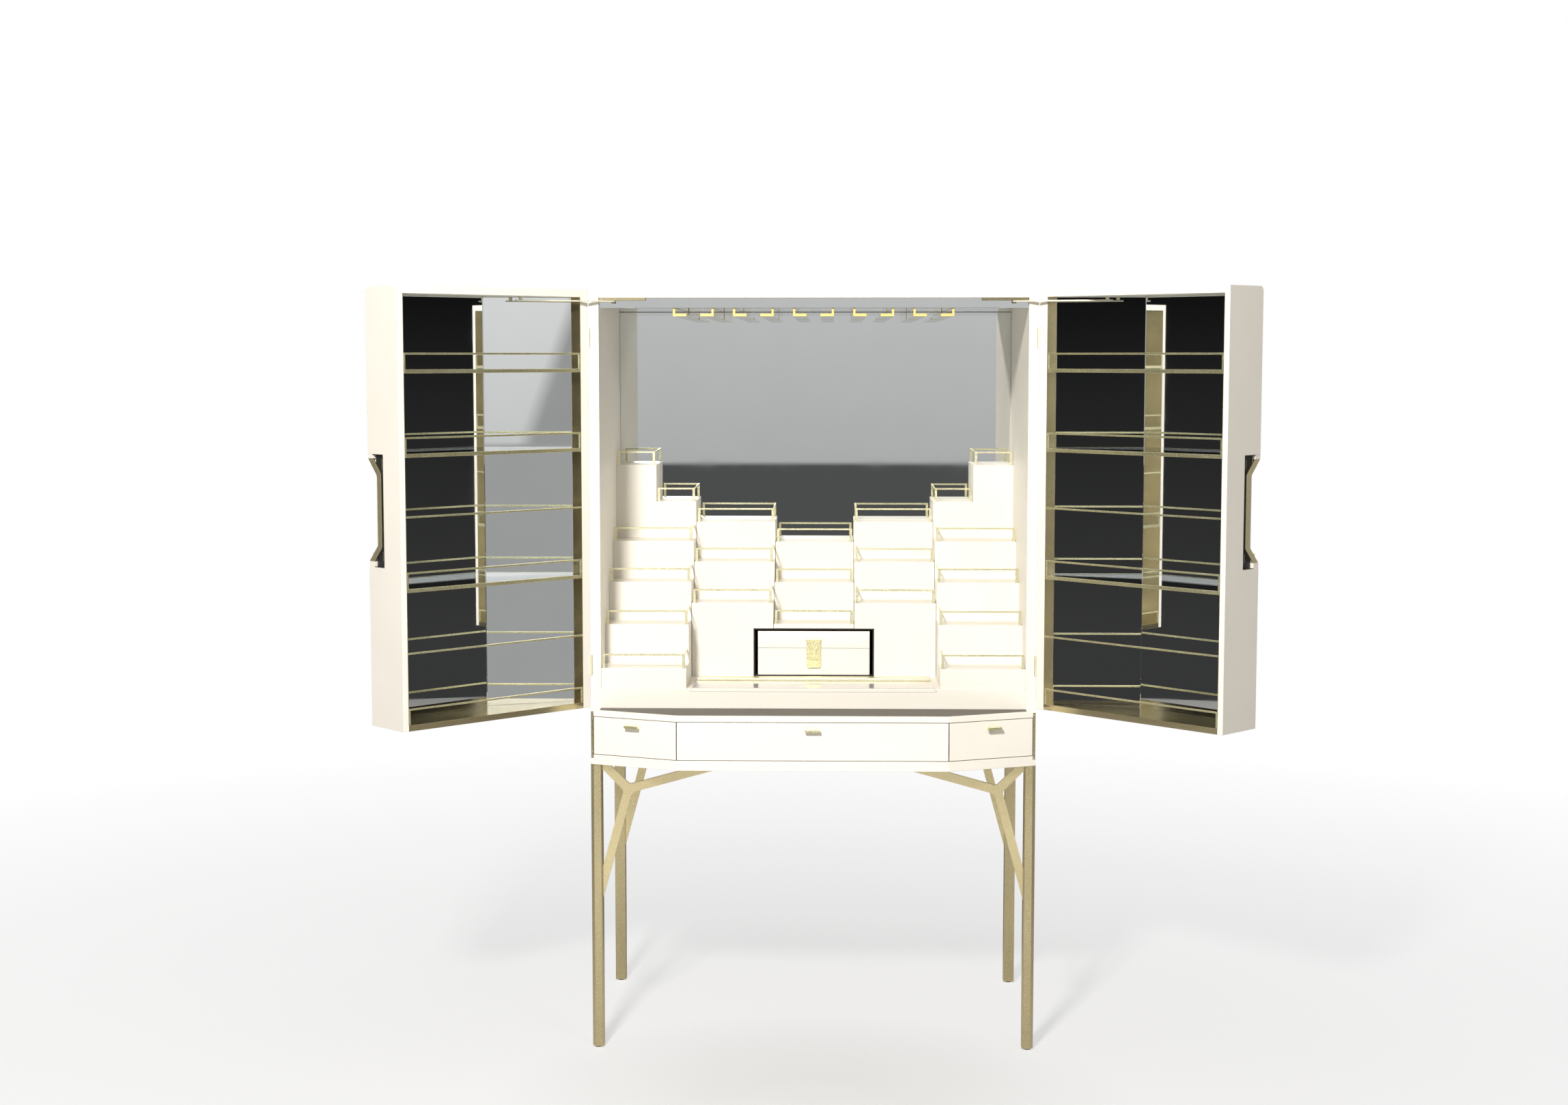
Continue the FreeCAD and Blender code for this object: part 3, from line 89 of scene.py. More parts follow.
def spread(tree, value, low, high, start=0.3, end=0.7):
    """Turns a value between start and end into one between low and high."""
    node = tree.nodes.new("ShaderNodeMapRange")
    for name, number in (("From Min", start), ("From Max", end), ("To Min", low), ("To Max", high)):
        node.inputs[name].default_value = number
    tree.links.new(value, node.inputs["Value"])
    return node.outputs["Result"]


def ramp(tree, value, stops):
    """Colour for a value, from (position, colour) stops; a plain number is a grey."""
    node = tree.nodes.new("ShaderNodeValToRGB")
    for index, (position, colour) in enumerate(stops):
        if isinstance(colour, float):
            colour = (colour, colour, colour)
        element = node.color_ramp.elements[index] if index < 2 else node.color_ramp.elements.new(position)
        element.position = position
        element.color = (*colour, 1)
    tree.links.new(value, node.inputs["Fac"])
    return node.outputs["Color"]


def blend(tree, share, first, second):
    """Mix of two shaders."""
    node = tree.nodes.new("ShaderNodeMixShader")
    for socket, value in zip(node.inputs, (share, first, second)):
        tree.links.new(value, socket)
    return node.outputs[0]


floor_form = bmesh.new()
bmesh.ops.create_circle(floor_form, cap_ends=True, radius=FLOOR_RADIUS, segments=96)
floor_mesh = bpy.data.meshes.new("floor")
floor_form.to_mesh(floor_mesh)
floor_form.free()
floor = bpy.data.objects.new("floor", floor_mesh)
floor.location = (0, 0, -FLOOR_DROP)
scene.collection.objects.link(floor)

floor_paint = bpy.data.materials.new("studio_floor")
tree = shader_tree(floor_paint)
place = tree.nodes.new("ShaderNodeTexCoord")
centre = tree.nodes.new("ShaderNodeVectorMath")
centre.inputs[1].default_value = (0, -FADE_CENTRE_Y, 0)
tree.links.new(place.outputs["Object"], centre.inputs[0])
distance = tree.nodes.new("ShaderNodeVectorMath")
distance.operation = "LENGTH"
tree.links.new(centre.outputs[0], distance.inputs[0])
painted_glow_share = ramp(tree, spread(tree, distance.outputs["Value"], 0.0, 1.0, 0.0, FADE_REACH),
                [(0.0, 0.10), (1.0, 1.0), (0.05, 0.14), (0.10, 0.36), (0.16, 0.61), (0.375, 0.76),
                 (0.57, 0.84), (0.68, 0.89)])
paths = tree.nodes.new("ShaderNodeLightPath")
paint = tree.nodes.new("ShaderNodeBsdfDiffuse")
paint.inputs["Color"].default_value = (0.735, 0.75, 0.775, 1)
glow = tree.nodes.new("ShaderNodeEmission")
glow.inputs["Strength"].default_value = 1.0
fade = sums(tree, "MULTIPLY", painted_glow_share, paths.outputs["Is Camera Ray"])
output = tree.nodes.new("ShaderNodeOutputMaterial")
tree.links.new(blend(tree, fade, paint.outputs[0], glow.outputs[0]), output.inputs["Surface"])
floor_mesh.materials.append(floor_paint)


# -------------------- studio: lamps and surroundings
# A strong small soft box hangs high in front, left of the middle, and a weak wider one at the right.
# Seen directly, the background is white. Metal and mirrors see a room instead: grey in front,
# pale behind, black to both sides, a leaning grey screen at the right, a dark ground, a pale ceiling.
def soft_box(name, location, size, power):
    """Square studio lamp aimed at the middle of the cabinet."""
    lamp = bpy.data.lights.new(name, "AREA")
    lamp.size = size
    lamp.energy = power
    lamp.color = (1.0, 0.965, 0.91)
    stand = bpy.data.objects.new(name, lamp)
    stand.location = location
    aim = Vector((0, 0, 1.1)) - Vector(location)
    stand.rotation_euler = aim.to_track_quat("-Z", "Y").to_euler()
    scene.collection.objects.link(stand)


soft_box("lamp_left", (-0.90, -3.8, 3.3), 0.45, 252)
soft_box("lamp_right", (2.0, -3.6, 2.9), 0.8, 24)


def tinted(tree, share, first, second):
    """Lays a share of a plain second colour over a first one."""
    node = tree.nodes.new("ShaderNodeMix")
    node.data_type = "RGBA"
    node.inputs[7].default_value = (*second, 1)
    tree.links.new(share, node.inputs["Factor"])
    tree.links.new(first, node.inputs[6])
    return node.outputs[2]


world = bpy.data.worlds.new("studio")
scene.world = world
tree = shader_tree(world)
looking = tree.nodes.new("ShaderNodeTexCoord")
split = tree.nodes.new("ShaderNodeSeparateXYZ")
tree.links.new(looking.outputs["Generated"], split.inputs[0])
height = split.outputs["Z"]
bearing = sums(tree, "ARCTAN2", split.outputs["X"], sums(tree, "MULTIPLY", split.outputs["Y"], -1))
turn = spread(tree, bearing, 0.0, 1.0, -math.pi, math.pi)       # 0.5 is straight in front

LEFT_SIDE = [(0.0, 1.0), (1.0, 1.0), (0.18, 1.0), (0.20, 0.5), (0.215, 0.42), (0.226, 0.0)]
RIGHT_SIDE = [(0.735, 0.0), (0.762, 0.42), (0.79, 0.45), (0.82, 1.0)]
MIDDLE = {"walls": [(0.42, 0.0), (0.455, 0.53), (0.585, 0.53), (0.598, 0.70), (0.62, 0.70)],
          "screen": [(0.60, 0.34), (0.625, 0.34), (0.66, 0.0)],
          "ground": [(0.42, 0.0), (0.455, 0.082), (0.575, 0.082), (0.595, 0.37), (0.625, 0.37), (0.66, 0.0)]}
seen_around = {part: ramp(tree, turn, LEFT_SIDE + stops + RIGHT_SIDE) for part, stops in MIDDLE.items()}
screen_edge = sums(tree, "MULTIPLY_ADD", height, 0.0561, 0.60464)
on_screen = spread(tree, sums(tree, "SUBTRACT", turn, screen_edge), 0.0, 1.0, -0.0006, 0.0006)
lit = sums(tree, "MULTIPLY", seen_around["walls"], sums(tree, "MULTIPLY_ADD", height, 2.5, 1.0))
above = sums(tree, "MULTIPLY_ADD", on_screen, sums(tree, "SUBTRACT", seen_around["screen"], lit), lit)
below = seen_around["ground"]
dip = spread(tree, turn, 0.0, -0.009, 0.54, 0.59)
horizon = spread(tree, sums(tree, "ADD", height, dip), 0.0, 1.0, -0.0495, -0.0475)
level = sums(tree, "MULTIPLY_ADD", horizon, sums(tree, "SUBTRACT", above, below), below)
gloom = spread(tree, height, 0.042, 0.0055, -0.13, 0.03)
around = sums(tree, "MAXIMUM", level, gloom)
room = tinted(tree, spread(tree, height, 0.0, 1.0, 0.35, 0.7), around, (0.75, 0.74, 0.72))
seen = tree.nodes.new("ShaderNodeBackground")
tree.links.new(room, seen.inputs["Color"])
shade = tree.nodes.new("ShaderNodeBackground")
shade.inputs["Color"].default_value = (1.0, 0.92, 0.845, 1)
shade.inputs["Strength"].default_value = 0.15
white = tree.nodes.new("ShaderNodeBackground")
white.inputs["Color"].default_value = (1, 1, 1, 1)
paths = tree.nodes.new("ShaderNodeLightPath")
in_metal = blend(tree, paths.outputs["Is Glossy Ray"], shade.outputs[0], seen.outputs[0])
straight = sums(tree, "MAXIMUM", paths.outputs["Is Camera Ray"], paths.outputs["Is Transmission Ray"])
output = tree.nodes.new("ShaderNodeOutputWorld")
tree.links.new(blend(tree, straight, in_metal, white.outputs[0]), output.inputs["Surface"])


# -------------------- legs
# Four brass tubes of 26 mm with broken corners, brushed lengthwise. Each stands under a corner of
# the base, the front ones flush with its canted ends.
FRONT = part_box("carcass_sides")[0].y        # plane of the carcass's front edges
LEG_TOP = 0.653
LEG_FOOT = 0.003
LEG_SPAN = 0.5015           # a front and a rear leg's places behind the carcass front add up to this
LEG_SECTION = [(0.474, -0.0075), (0.474, -0.0305), (0.477, -0.0335), (0.493, -0.0335), (0.500, -0.0235),
               (0.500, -0.0075)]


def surface(name, base, roughness, metallic):
    """Starts a finish: the material, its node tree, object coordinates and shader."""
    finish = bpy.data.materials.new(name)
    tree = shader_tree(finish)
    place = tree.nodes.new("ShaderNodeTexCoord")
    shader = tree.nodes.new("ShaderNodeBsdfPrincipled")
    shader.inputs["Base Color"].default_value = (*base, 1)
    shader.inputs["Roughness"].default_value = roughness
    shader.inputs["Metallic"].default_value = metallic
    output = tree.nodes.new("ShaderNodeOutputMaterial")
    tree.links.new(shader.outputs[0], output.inputs["Surface"])
    return finish, tree, place.outputs["Object"], shader


def grain(tree, coordinates, scale, stretch=(1, 1, 1), detail=2.0, turn=0.0):
    """Noise over a piece, stretched along one axis for brushing or wood."""
    mapping = tree.nodes.new("ShaderNodeMapping")
    mapping.inputs["Scale"].default_value = stretch
    mapping.inputs["Rotation"].default_value = (0, 0, turn)
    tree.links.new(coordinates, mapping.inputs["Vector"])
    noise = tree.nodes.new("ShaderNodeTexNoise")
    noise.inputs["Scale"].default_value = scale
    noise.inputs["Detail"].default_value = detail
    tree.links.new(mapping.outputs[0], noise.inputs["Vector"])
    return noise.outputs["Fac"]


def relief(tree, height, strength, distance, shader, under=None):
    """Gives a shader a fine raised texture, on top of another where there is one."""
    node = tree.nodes.new("ShaderNodeBump")
    node.inputs["Strength"].default_value = strength
    node.inputs["Distance"].default_value = distance
    tree.links.new(height, node.inputs["Height"])
    if under:
        tree.links.new(under, node.inputs["Normal"])
    tree.links.new(node.outputs[0], shader.inputs["Normal"])
    return node.outputs[0]


def stain(tree, value, stops, shader):
    """Colours a shader from a value."""
    tree.links.new(ramp(tree, value, stops), shader.inputs["Base Color"])


def wear(tree, value, low, high, shader):
    """Varies a shader's roughness with a noise."""
    tree.links.new(spread(tree, value, low, high), shader.inputs["Roughness"])


def brass(name, brushing, tint=1.0, roughness=0.27, sparkle=0.25, turn=0.0, metal=(0.78, 0.665, 0.38)):
    """Lacquered brass, brushed along one axis, with broad random patches of tone and fine bright specks that
    are painted glints.
    """
    base = tuple(channel * tint for channel in metal)
    finish, tree, place, shader = surface(name, base, roughness, 1.0)
    lines = grain(tree, place, 1.0, brushing, 3.0, turn)
    specks = grain(tree, place, 750.0)
    patches = grain(tree, place, 7.0, detail=3.0)
    dark = tuple(channel * (1 - sparkle) for channel in base)
    lite = tuple(min(1.0, channel * (1 + sparkle) + 0.3 * sparkle) for channel in base)
    # The fine specks, made paler and brighter by sparkle, are painted glints; the broad patches are random
    # tone.
    glints_and_patches = sums(tree, "MULTIPLY_ADD", specks, 0.75, spread(tree, patches, 0.08, 0.17))
    stain(tree, glints_and_patches, [(0.34, dark), (0.66, lite)], shader)
    wear(tree, specks, roughness * 0.7, roughness * 1.4, shader)
    first = relief(tree, lines, 0.10, 0.0002, shader)
    relief(tree, specks, 0.10 + sparkle * 0.4, 0.0003, shader, first)
    return finish


def verts_in(made):
    """The vertices among what an operator made."""
    return [part for part in made["geom"] if isinstance(part, bmesh.types.BMVert)]


def everything(form):
    """All parts of a form."""
    return form.verts[:] + form.edges[:] + form.faces[:]


def drawn_out(form, outline, run):
    """Adds a solid: a closed outline of (x, y, z) corners, drawn out along run."""
    face = form.faces.new([form.verts.new(corner) for corner in outline])
    made = bmesh.ops.extrude_face_region(form, geom=[face])
    bmesh.ops.translate(form, vec=run, verts=verts_in(made))


def on_both_sides(form):
    """Adds the mirror image of a form on the other side of the cabinet's middle."""
    copy = bmesh.ops.duplicate(form, geom=everything(form))
    bmesh.ops.scale(form, vec=(-1, 1, 1), verts=verts_in(copy))
    faces = [part for part in copy["geom"] if isinstance(part, bmesh.types.BMFace)]
    bmesh.ops.reverse_faces(form, faces=faces)


def round_off(form, edges, width, segments):
    """Rounds the given edges of a form."""
    bmesh.ops.bevel(form, geom=edges, offset=width, offset_type="OFFSET", segments=segments,
                    profile=0.5, affect="EDGES", clamp_overlap=True, material=-1)


def ease(form, width, segments=2, shortest=0.0, spared=None):
    """Rounds the sharp outward edges of a form, except short ones and those that are spared."""
    bmesh.ops.recalc_face_normals(form, faces=form.faces)
    edges = [edge for edge in form.edges
             if edge.is_manifold and edge.is_convex and edge.calc_face_angle() > 0.5
             and edge.calc_length() > shortest and not (spared and spared(edge))]
    round_off(form, edges, width, segments)


def fit(name, form, finish, body, slot, *nodes, rounded=False):
    """Makes a finished form a piece that rides on a body and stands for its CAD nodes."""
    bmesh.ops.dissolve_degenerate(form, dist=0.000002, edges=form.edges)
    bmesh.ops.recalc_face_normals(form, faces=form.faces)
    if form.calc_volume(signed=True) < 0:
        bmesh.ops.reverse_faces(form, faces=form.faces)
    mesh = bpy.data.meshes.new(name)
    form.to_mesh(mesh)
    form.free()
    if rounded:
        mesh.shade_smooth()
        mesh.set_sharp_from_angle(angle=math.radians(35))
    mesh.materials.append(finish)
    piece = bpy.data.objects.new(name, mesh)
    scene.collection.objects.link(piece)
    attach(piece, body)
    if nodes:
        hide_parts(*nodes)
    return piece


# The legs' brass is darkened to 0.7 of plain brass: painted shade standing in for darker reflections in the
# legs.
leg_brass_painted_shade = brass("leg_brass_painted_shade", (700, 700, 9), 0.70, 0.30, 0.15)
form = bmesh.new()
for near in (True, False):
    outline = [(x, FRONT + (y if near else LEG_SPAN - y), LEG_FOOT) for x, y in LEG_SECTION]
    drawn_out(form, outline, (0, 0, LEG_TOP - LEG_FOOT))
on_both_sides(form)
ease(form, 0.0007)
fit("brass_legs", form, leg_brass_painted_shade, "cabinet", "brass", "legs")


# -------------------- foot glides
# Turned black nylon discs, 18 mm across and 3 mm high, with a rounded rim. They are pressed into
# the legs' ends.
GLIDE_RADIUS = 0.009
GLIDE_X = 0.487
GLIDE_Y = -0.0205           # of the front ones, from the carcass front


def black(name, tone, roughness, scale):
    """Matt black: nylon, paint or lining, with a fine even grain."""
    finish, tree, place, shader = surface(name, (tone, tone, tone), roughness, 0.0)
    fine = grain(tree, place, scale)
    stain(tree, fine, [(0.3, tone * 0.7), (0.7, tone * 1.5)], shader)
    wear(tree, fine, roughness * 0.85, roughness * 1.15, shader)
    relief(tree, fine, 0.15, 0.0002, shader)
    return finish


def turned(form, radius, length, segments, taper=1.0):
    """Adds an upright round bar around the origin and returns its vertices."""
    return bmesh.ops.create_cone(form, cap_ends=True, segments=segments, radius1=radius,
                                 radius2=radius * taper, depth=length)["verts"]


nylon = black("black_nylon", 0.03, 0.5, 900.0)
form = bmesh.new()
for y in (GLIDE_Y, LEG_SPAN - GLIDE_Y):
    disc = turned(form, GLIDE_RADIUS, LEG_FOOT, 32)
    bmesh.ops.translate(form, vec=(GLIDE_X, FRONT + y, LEG_FOOT / 2), verts=disc)
on_both_sides(form)
ease(form, 0.0008)
fit("nylon_glides", form, nylon, "cabinet", "glide", "foot_glides", rounded=True)


# -------------------- braces and side arms
# Flat brass bars, mitred into a Y in the plane of each pair of legs, and a short arm back from
# each leg. They are brazed to the legs and screwed up into the base.
def dress(name, node, finish, body, slot, width, segments=2, shortest=0.0, rounded=False):
    """Makes a CAD node's own shape a piece, with its sharp edges rounded."""
    form = bmesh.new()
    form.from_mesh(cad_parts[node].data)
    bmesh.ops.remove_doubles(form, verts=form.verts, dist=0.000004)
    bmesh.ops.dissolve_limit(form, angle_limit=0.01, verts=form.verts, edges=form.edges)
    ease(form, width, segments, shortest)
    return fit(name, form, finish, body, slot, node, rounded=rounded)


brace_brass = brass("brace_brass", (260, 700, 260), 0.92, 0.30, 0.18)
dress("brass_braces", "leg_braces", brace_brass, "cabinet", "brass", 0.0006, shortest=0.012)
dress("brass_side_arms", "side_arms", brace_brass, "cabinet", "brass", 0.0006)


# -------------------- base case
# Ivory lacquered panels with a fine grain like pressed leather. The front is straight in the
# middle and canted at both ends. Uprights, dividers and back are glued between bottom and top.
def lacquer(name, base, roughness=0.38):
    """Ivory lacquer over a fine leather-like grain."""
    finish, tree, place, shader = surface(name, base, roughness, 0.0)
    fine = grain(tree, place, 900.0, detail=3.0)
    cells = tree.nodes.new("ShaderNodeTexVoronoi")
    cells.inputs["Scale"].default_value = 520.0
    tree.links.new(place, cells.inputs["Vector"])
    wide = grain(tree, place, 5.0, detail=3.0)
    dark = tuple(channel * 0.975 for channel in base)
    lite = tuple(min(1.0, channel * 1.01) for channel in base)
    ground = ramp(tree, wide, [(0.3, dark), (0.7, lite)])
    speck = tinted(tree, spread(tree, fine, 0.0, 0.5, 0.52, 0.70), ground,
                   [channel * 0.93 for channel in base])
    tree.links.new(speck, shader.inputs["Base Color"])
    wear(tree, wide, roughness * 0.9, roughness * 1.12, shader)
    first = relief(tree, cells.outputs["Distance"], 0.10, 0.0003, shader)
    relief(tree, fine, 0.08, 0.0002, shader, first)
    return finish


ivory = lacquer("ivory_lacquer", (0.80, 0.772, 0.708))
for node in ("base_bottom", "base_top", "base_uprights", "base_back"):
    dress("lacquered_" + node, node, ivory, "cabinet", "white_lacquer", 0.0008, shortest=0.05)


# -------------------- inlay
# A sheet of taupe leather, 1.5 mm thick, with a pebbled grain. It is glued into a recess in the
# base's top, around the carcass's foot.
TAUPE = (0.105, 0.093, 0.078)
leather, tree, place, shader = surface("taupe_leather", TAUPE, 0.5, 0.0)
shader.inputs["Specular IOR Level"].default_value = 0.25
pebbles = tree.nodes.new("ShaderNodeTexVoronoi")
pebbles.inputs["Scale"].default_value = 650.0
tree.links.new(place, pebbles.inputs["Vector"])
fine = grain(tree, place, 300.0)
stain(tree, fine, [(0.3, tuple(channel * 0.80 for channel in TAUPE)),
                   (0.7, tuple(channel * 1.15 for channel in TAUPE))], shader)
wear(tree, fine, 0.42, 0.60, shader)
relief(tree, pebbles.outputs["Distance"], 0.35, 0.0005, shader)
dress("leather_inlay", "base_inlay", leather, "cabinet", "bronze_inlay", 0.0004)


# -------------------- corner strips and their screws
# A brass strip closes each front corner of the base. Four small slotted screws hold it, two near
# each end, with domed heads square to the canted front.
strip_brass = brass("strip_brass", (700, 700, 12), 0.85)
dress("brass_corner_strips", "corner_strips", strip_brass, "cabinet", "brass", 0.0003, shortest=0.015)

nickel, tree, place, shader = surface("nickel", (0.68, 0.66, 0.62), 0.25, 1.0)
scuffs = grain(tree, place, 1800.0)
stain(tree, scuffs, [(0.3, (0.58, 0.56, 0.52)), (0.7, (0.76, 0.74, 0.70))], shader)
wear(tree, scuffs, 0.18, 0.34, shader)
relief(tree, scuffs, 0.05, 0.0001, shader)

CANT = math.atan2(0.078, 0.197)             # the base's front runs back 78 mm over 197 mm
SCREWS = ((0.671, 0.4), (0.682, 2.1), (0.758, 1.2), (0.769, 2.7))      # height, and turn of the slot
STRIP_MIDDLE = 0.495
STRIP_FACE = 0.0335                         # in front of the carcass, at 3 mm from the strip's middle
HEAD = 0.0018
HEAD_HEIGHT = 0.0006


def score(form, point, direction):
    """Cuts a line into a form's surface where a plane meets it."""
    bmesh.ops.bisect_plane(form, geom=everything(form), plane_co=point, plane_no=direction)


def sink(form, faces, run):
    """Sinks faces of a form by a run and gives the hollow its walls."""
    sunk = verts_in(bmesh.ops.extrude_face_region(form, geom=faces))
    bmesh.ops.delete(form, geom=faces, context="FACES_ONLY")
    bmesh.ops.translate(form, vec=run, verts=sunk)
    return sunk


def join(form, other):
    """Adds another form to a form."""
    loose = bpy.data.meshes.new("loose")
    other.to_mesh(loose)
    other.free()
    form.from_mesh(loose)
    bpy.data.meshes.remove(loose)


form = bmesh.new()
for z, slot_angle in SCREWS:
    screw = bmesh.new()
    turned(screw, HEAD, HEAD_HEIGHT, 24, 0.72)
    for side in (-1, 1):
        score(screw, (side * HEAD * 0.14, 0, 0), (1, 0, 0))
    slot = [face for face in screw.faces
            if face.normal.z > 0.9 and abs(face.calc_center_median().x) < HEAD * 0.13]
    sink(screw, slot, (0, 0, -HEAD_HEIGHT * 0.5))
    facing = Matrix.Translation((STRIP_MIDDLE, FRONT - STRIP_FACE - 0.003 * math.tan(CANT), z))
    facing = facing @ Matrix.Rotation(CANT, 4, "Z") @ Matrix.Rotation(math.pi / 2, 4, "X")
    facing = facing @ Matrix.Rotation(slot_angle, 4, "Z") @ Matrix.Translation((0, 0, HEAD_HEIGHT / 2))
    bmesh.ops.transform(screw, matrix=facing, verts=screw.verts)
    join(form, screw)
on_both_sides(form)
fit("strip_screw_heads", form, nickel, "cabinet", "steel", "strip_screws")


# -------------------- drawers
# Three lacquered fronts on plain hardwood boxes, each with a small square brass pull on two posts.
# The boxes run on steel bars in channels screwed to the uprights.
box_wood, tree, place, shader = surface("drawer_wood", (0.68, 0.55, 0.39), 0.48, 0.0)
figure = grain(tree, place, 1.0, (70, 4, 70), 5.0)
pores = grain(tree, place, 1.0, (560, 32, 560))
stain(tree, figure, [(0.30, (0.50, 0.37, 0.235)), (0.72, (0.75, 0.62, 0.45)), (0.5, (0.66, 0.53, 0.37))],
      shader)
wear(tree, pores, 0.40, 0.60, shader)
relief(tree, pores, 0.18, 0.0003, shader)

steel, tree, place, shader = surface("runner_steel", (0.55, 0.55, 0.55), 0.32, 1.0)
rolled = grain(tree, place, 1.0, (900, 14, 900))
stain(tree, rolled, [(0.3, 0.48), (0.7, 0.62)], shader)
wear(tree, rolled, 0.24, 0.42, shader)
relief(tree, rolled, 0.08, 0.0002, shader)


def finish_bare(node, finish):
    """Gives its finish to a CAD node that shows as it is."""
    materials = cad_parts[node].data.materials
    materials.clear()
    materials.append(finish)


pull_brass = brass("pull_brass", (20, 900, 900), 1.1, 0.3)
for side in ("centre", "left", "right"):
    body = "drawer_" + side
    dress("lacquered_front_" + side, "drawer_front_" + side, ivory, body, "white_lacquer", 0.0009)
    dress("brass_pull_" + side, "drawer_pull_" + side, pull_brass, body, "brass", 0.0007)
    finish_bare("drawer_box_" + side, box_wood)
finish_bare("drawer_runners", steel)


# -------------------- carcass
# Lacquered boards: two sides, a thick floor, a top across both, and a back panel between the
# sides. A soffit with a fascia hangs under the top.
for node in ("carcass_sides", "carcass_bottom", "carcass_top", "carcass_back"):
    dress("lacquered_" + node, node, ivory, "cabinet", "white_lacquer", 0.0008, shortest=0.05)

INNER = 0.478
FLOOR = 0.820
SOFFIT = 1.6735
CEILING = 1.696
MIRROR = 0.490              # back mirror's face behind the carcass front
MIRROR_GLASS = 0.004
STRIP_GLASS = 0.002
FASCIA = 0.0155             # front and back of the fascia's board
FASCIA_BACK = 0.025
SOFFIT_BOARD = 0.006


def board(form, x0, x1, y0, y1, z0, z1):
    """Adds one plain board to a form, its depths counted from the carcass front."""
    made = bmesh.ops.create_cube(form, size=1)["verts"]
    bmesh.ops.scale(form, vec=(x1 - x0, y1 - y0, z1 - z0), verts=made)
    bmesh.ops.translate(form, vec=((x0 + x1) / 2, FRONT + (y0 + y1) / 2, (z0 + z1) / 2), verts=made)


form = bmesh.new()
board(form, -INNER, INNER, FASCIA, FASCIA_BACK, SOFFIT + STRIP_GLASS, CEILING)
board(form, -INNER, INNER, FASCIA_BACK - 0.0005, MIRROR + MIRROR_GLASS, SOFFIT + STRIP_GLASS,
      SOFFIT + SOFFIT_BOARD)
fit("lacquered_soffit", form, ivory, "cabinet", "white_lacquer", "soffit")


# -------------------- back mirror and its backer
# A 4 mm silvered plate with a ground edge, stuck to a board on battens in front of the back panel.
# Thinner strips of the same glass face the soffit's front and underside.
def mirror_glass(name, base, roughness, metallic, scale, haze, dark, lite):
    """Silvered glass with a faint haze."""
    finish, tree, place, shader = surface(name, base, roughness, metallic)
    cloud = grain(tree, place, scale, detail=4.0)
    stain(tree, cloud, [(0.3, dark), (0.7, lite)], shader)
    wear(tree, cloud, *haze, shader)
    return finish


silvered = mirror_glass("silvered_glass", (0.86, 0.885, 0.88), 0.012, 1.0, 9.0, (0.006, 0.022),
                        (0.85, 0.875, 0.87), (0.875, 0.895, 0.89))
form = bmesh.new()
board(form, -INNER, INNER, MIRROR, MIRROR + MIRROR_GLASS, FLOOR, SOFFIT)
ease(form, 0.0012, 1)
fit("back_mirror_plate", form, silvered, "cabinet", "mirror", "back_mirror")
form = bmesh.new()
board(form, -INNER, INNER, FASCIA - 0.0025, FASCIA, SOFFIT, CEILING)
board(form, -INNER, INNER, FASCIA + 0.0002, MIRROR - 0.0005, SOFFIT, SOFFIT + STRIP_GLASS)
ease(form, 0.0004, 1)
fit("soffit_mirror_strips", form, silvered, "cabinet", "mirror")
finish_bare("mirror_backer", box_wood)


# -------------------- glass racks
# Ten folded brass rails under the soffit make five slots, in which stemmed glasses hang by the foot.
# They are polished, and only their sawn ends are left rough. Those ends, which face forward and back, are
# also coloured darker: painted shade.
polished_brass = brass("polished_brass", (300, 8, 300), 1.05, 0.05, 0.0)
sawn_brass_painted_shade = brass("sawn_brass_painted_shade", (700, 700, 700), 1.0, 0.55, 0.25, metal=(0.62, 0.44, 0.14))
racks = dress("brass_glass_racks", "glass_racks", polished_brass, "cabinet", "brass", 0.0005)
racks.data.materials.append(sawn_brass_painted_shade)
# Faces looking forward or back take the rough brass; its darker colour is painted shade.
for face in racks.data.polygons:
    face.material_index = 1 if abs(face.normal.y) > 0.9 else 0


# -------------------- stepped display
# Lacquered staircases for bottles: five steps in the outer columns, three in the inner ones and
# three lower ones in the middle, over the niche. The outermost top steps stand one rise higher.
STEP_Y = (0.003, 0.098, 0.196, 0.294, 0.392)        # risers' faces behind the carcass front
OUTER_TOP = (0.865, 0.953, 1.041, 1.129, 1.217)     # treads of the outer columns
HIGHEST = 1.305                                     # their outermost top tread
INNER_TOP = (0.992, 1.080, 1.168)
MIDDLE_TOP = (0.943, 1.031, 1.119)
PANEL = 0.010
LANDING = 0.206             # back of the riser beside the niche
OUTER_IN = 0.286            # x of the columns' sides
OUTER_SPLIT = 0.382
INNER_OUT = 0.285
INNER_IN = 0.095
MIDDLE_HALF = 0.094
NICHE = 0.141
NICHE_HEAD = 0.933


def stairs(form, x0, x1, side):
    """Adds a staircase with the given side view between two widths."""
    drawn_out(form, [(x0, FRONT + y, z) for y, z in side], (x1 - x0, 0, 0))


def climb(tops, start, under=0.0):
    """Side view's line over three treads and risers up to the mirror, or that far under them."""
    turns = (STEP_Y[3] + under, STEP_Y[4] + under)
    line = []
    for z, y0, y1 in zip(tops, (start, *turns), (*turns, MIRROR)):
        line += [(y0, z - under), (y1, z - under)]
    return line


solid = [(STEP_Y[0], FLOOR)]
for z, y0, y1 in zip(OUTER_TOP, STEP_Y, (*STEP_Y[1:4], MIRROR)):
    solid += [(y0, z), (y1, z)]
solid.append((MIRROR, FLOOR))
form = bmesh.new()
stairs(form, OUTER_IN, INNER, solid)
board(form, OUTER_IN, OUTER_SPLIT, STEP_Y[4], MIRROR, OUTER_TOP[3], OUTER_TOP[4])
board(form, OUTER_SPLIT, INNER, STEP_Y[4], MIRROR, OUTER_TOP[3], HIGHEST)
on_both_sides(form)
ease(form, 0.0007)
fit("outer_bottle_steps", form, ivory, "cabinet", "white_lacquer", "steps_outer")

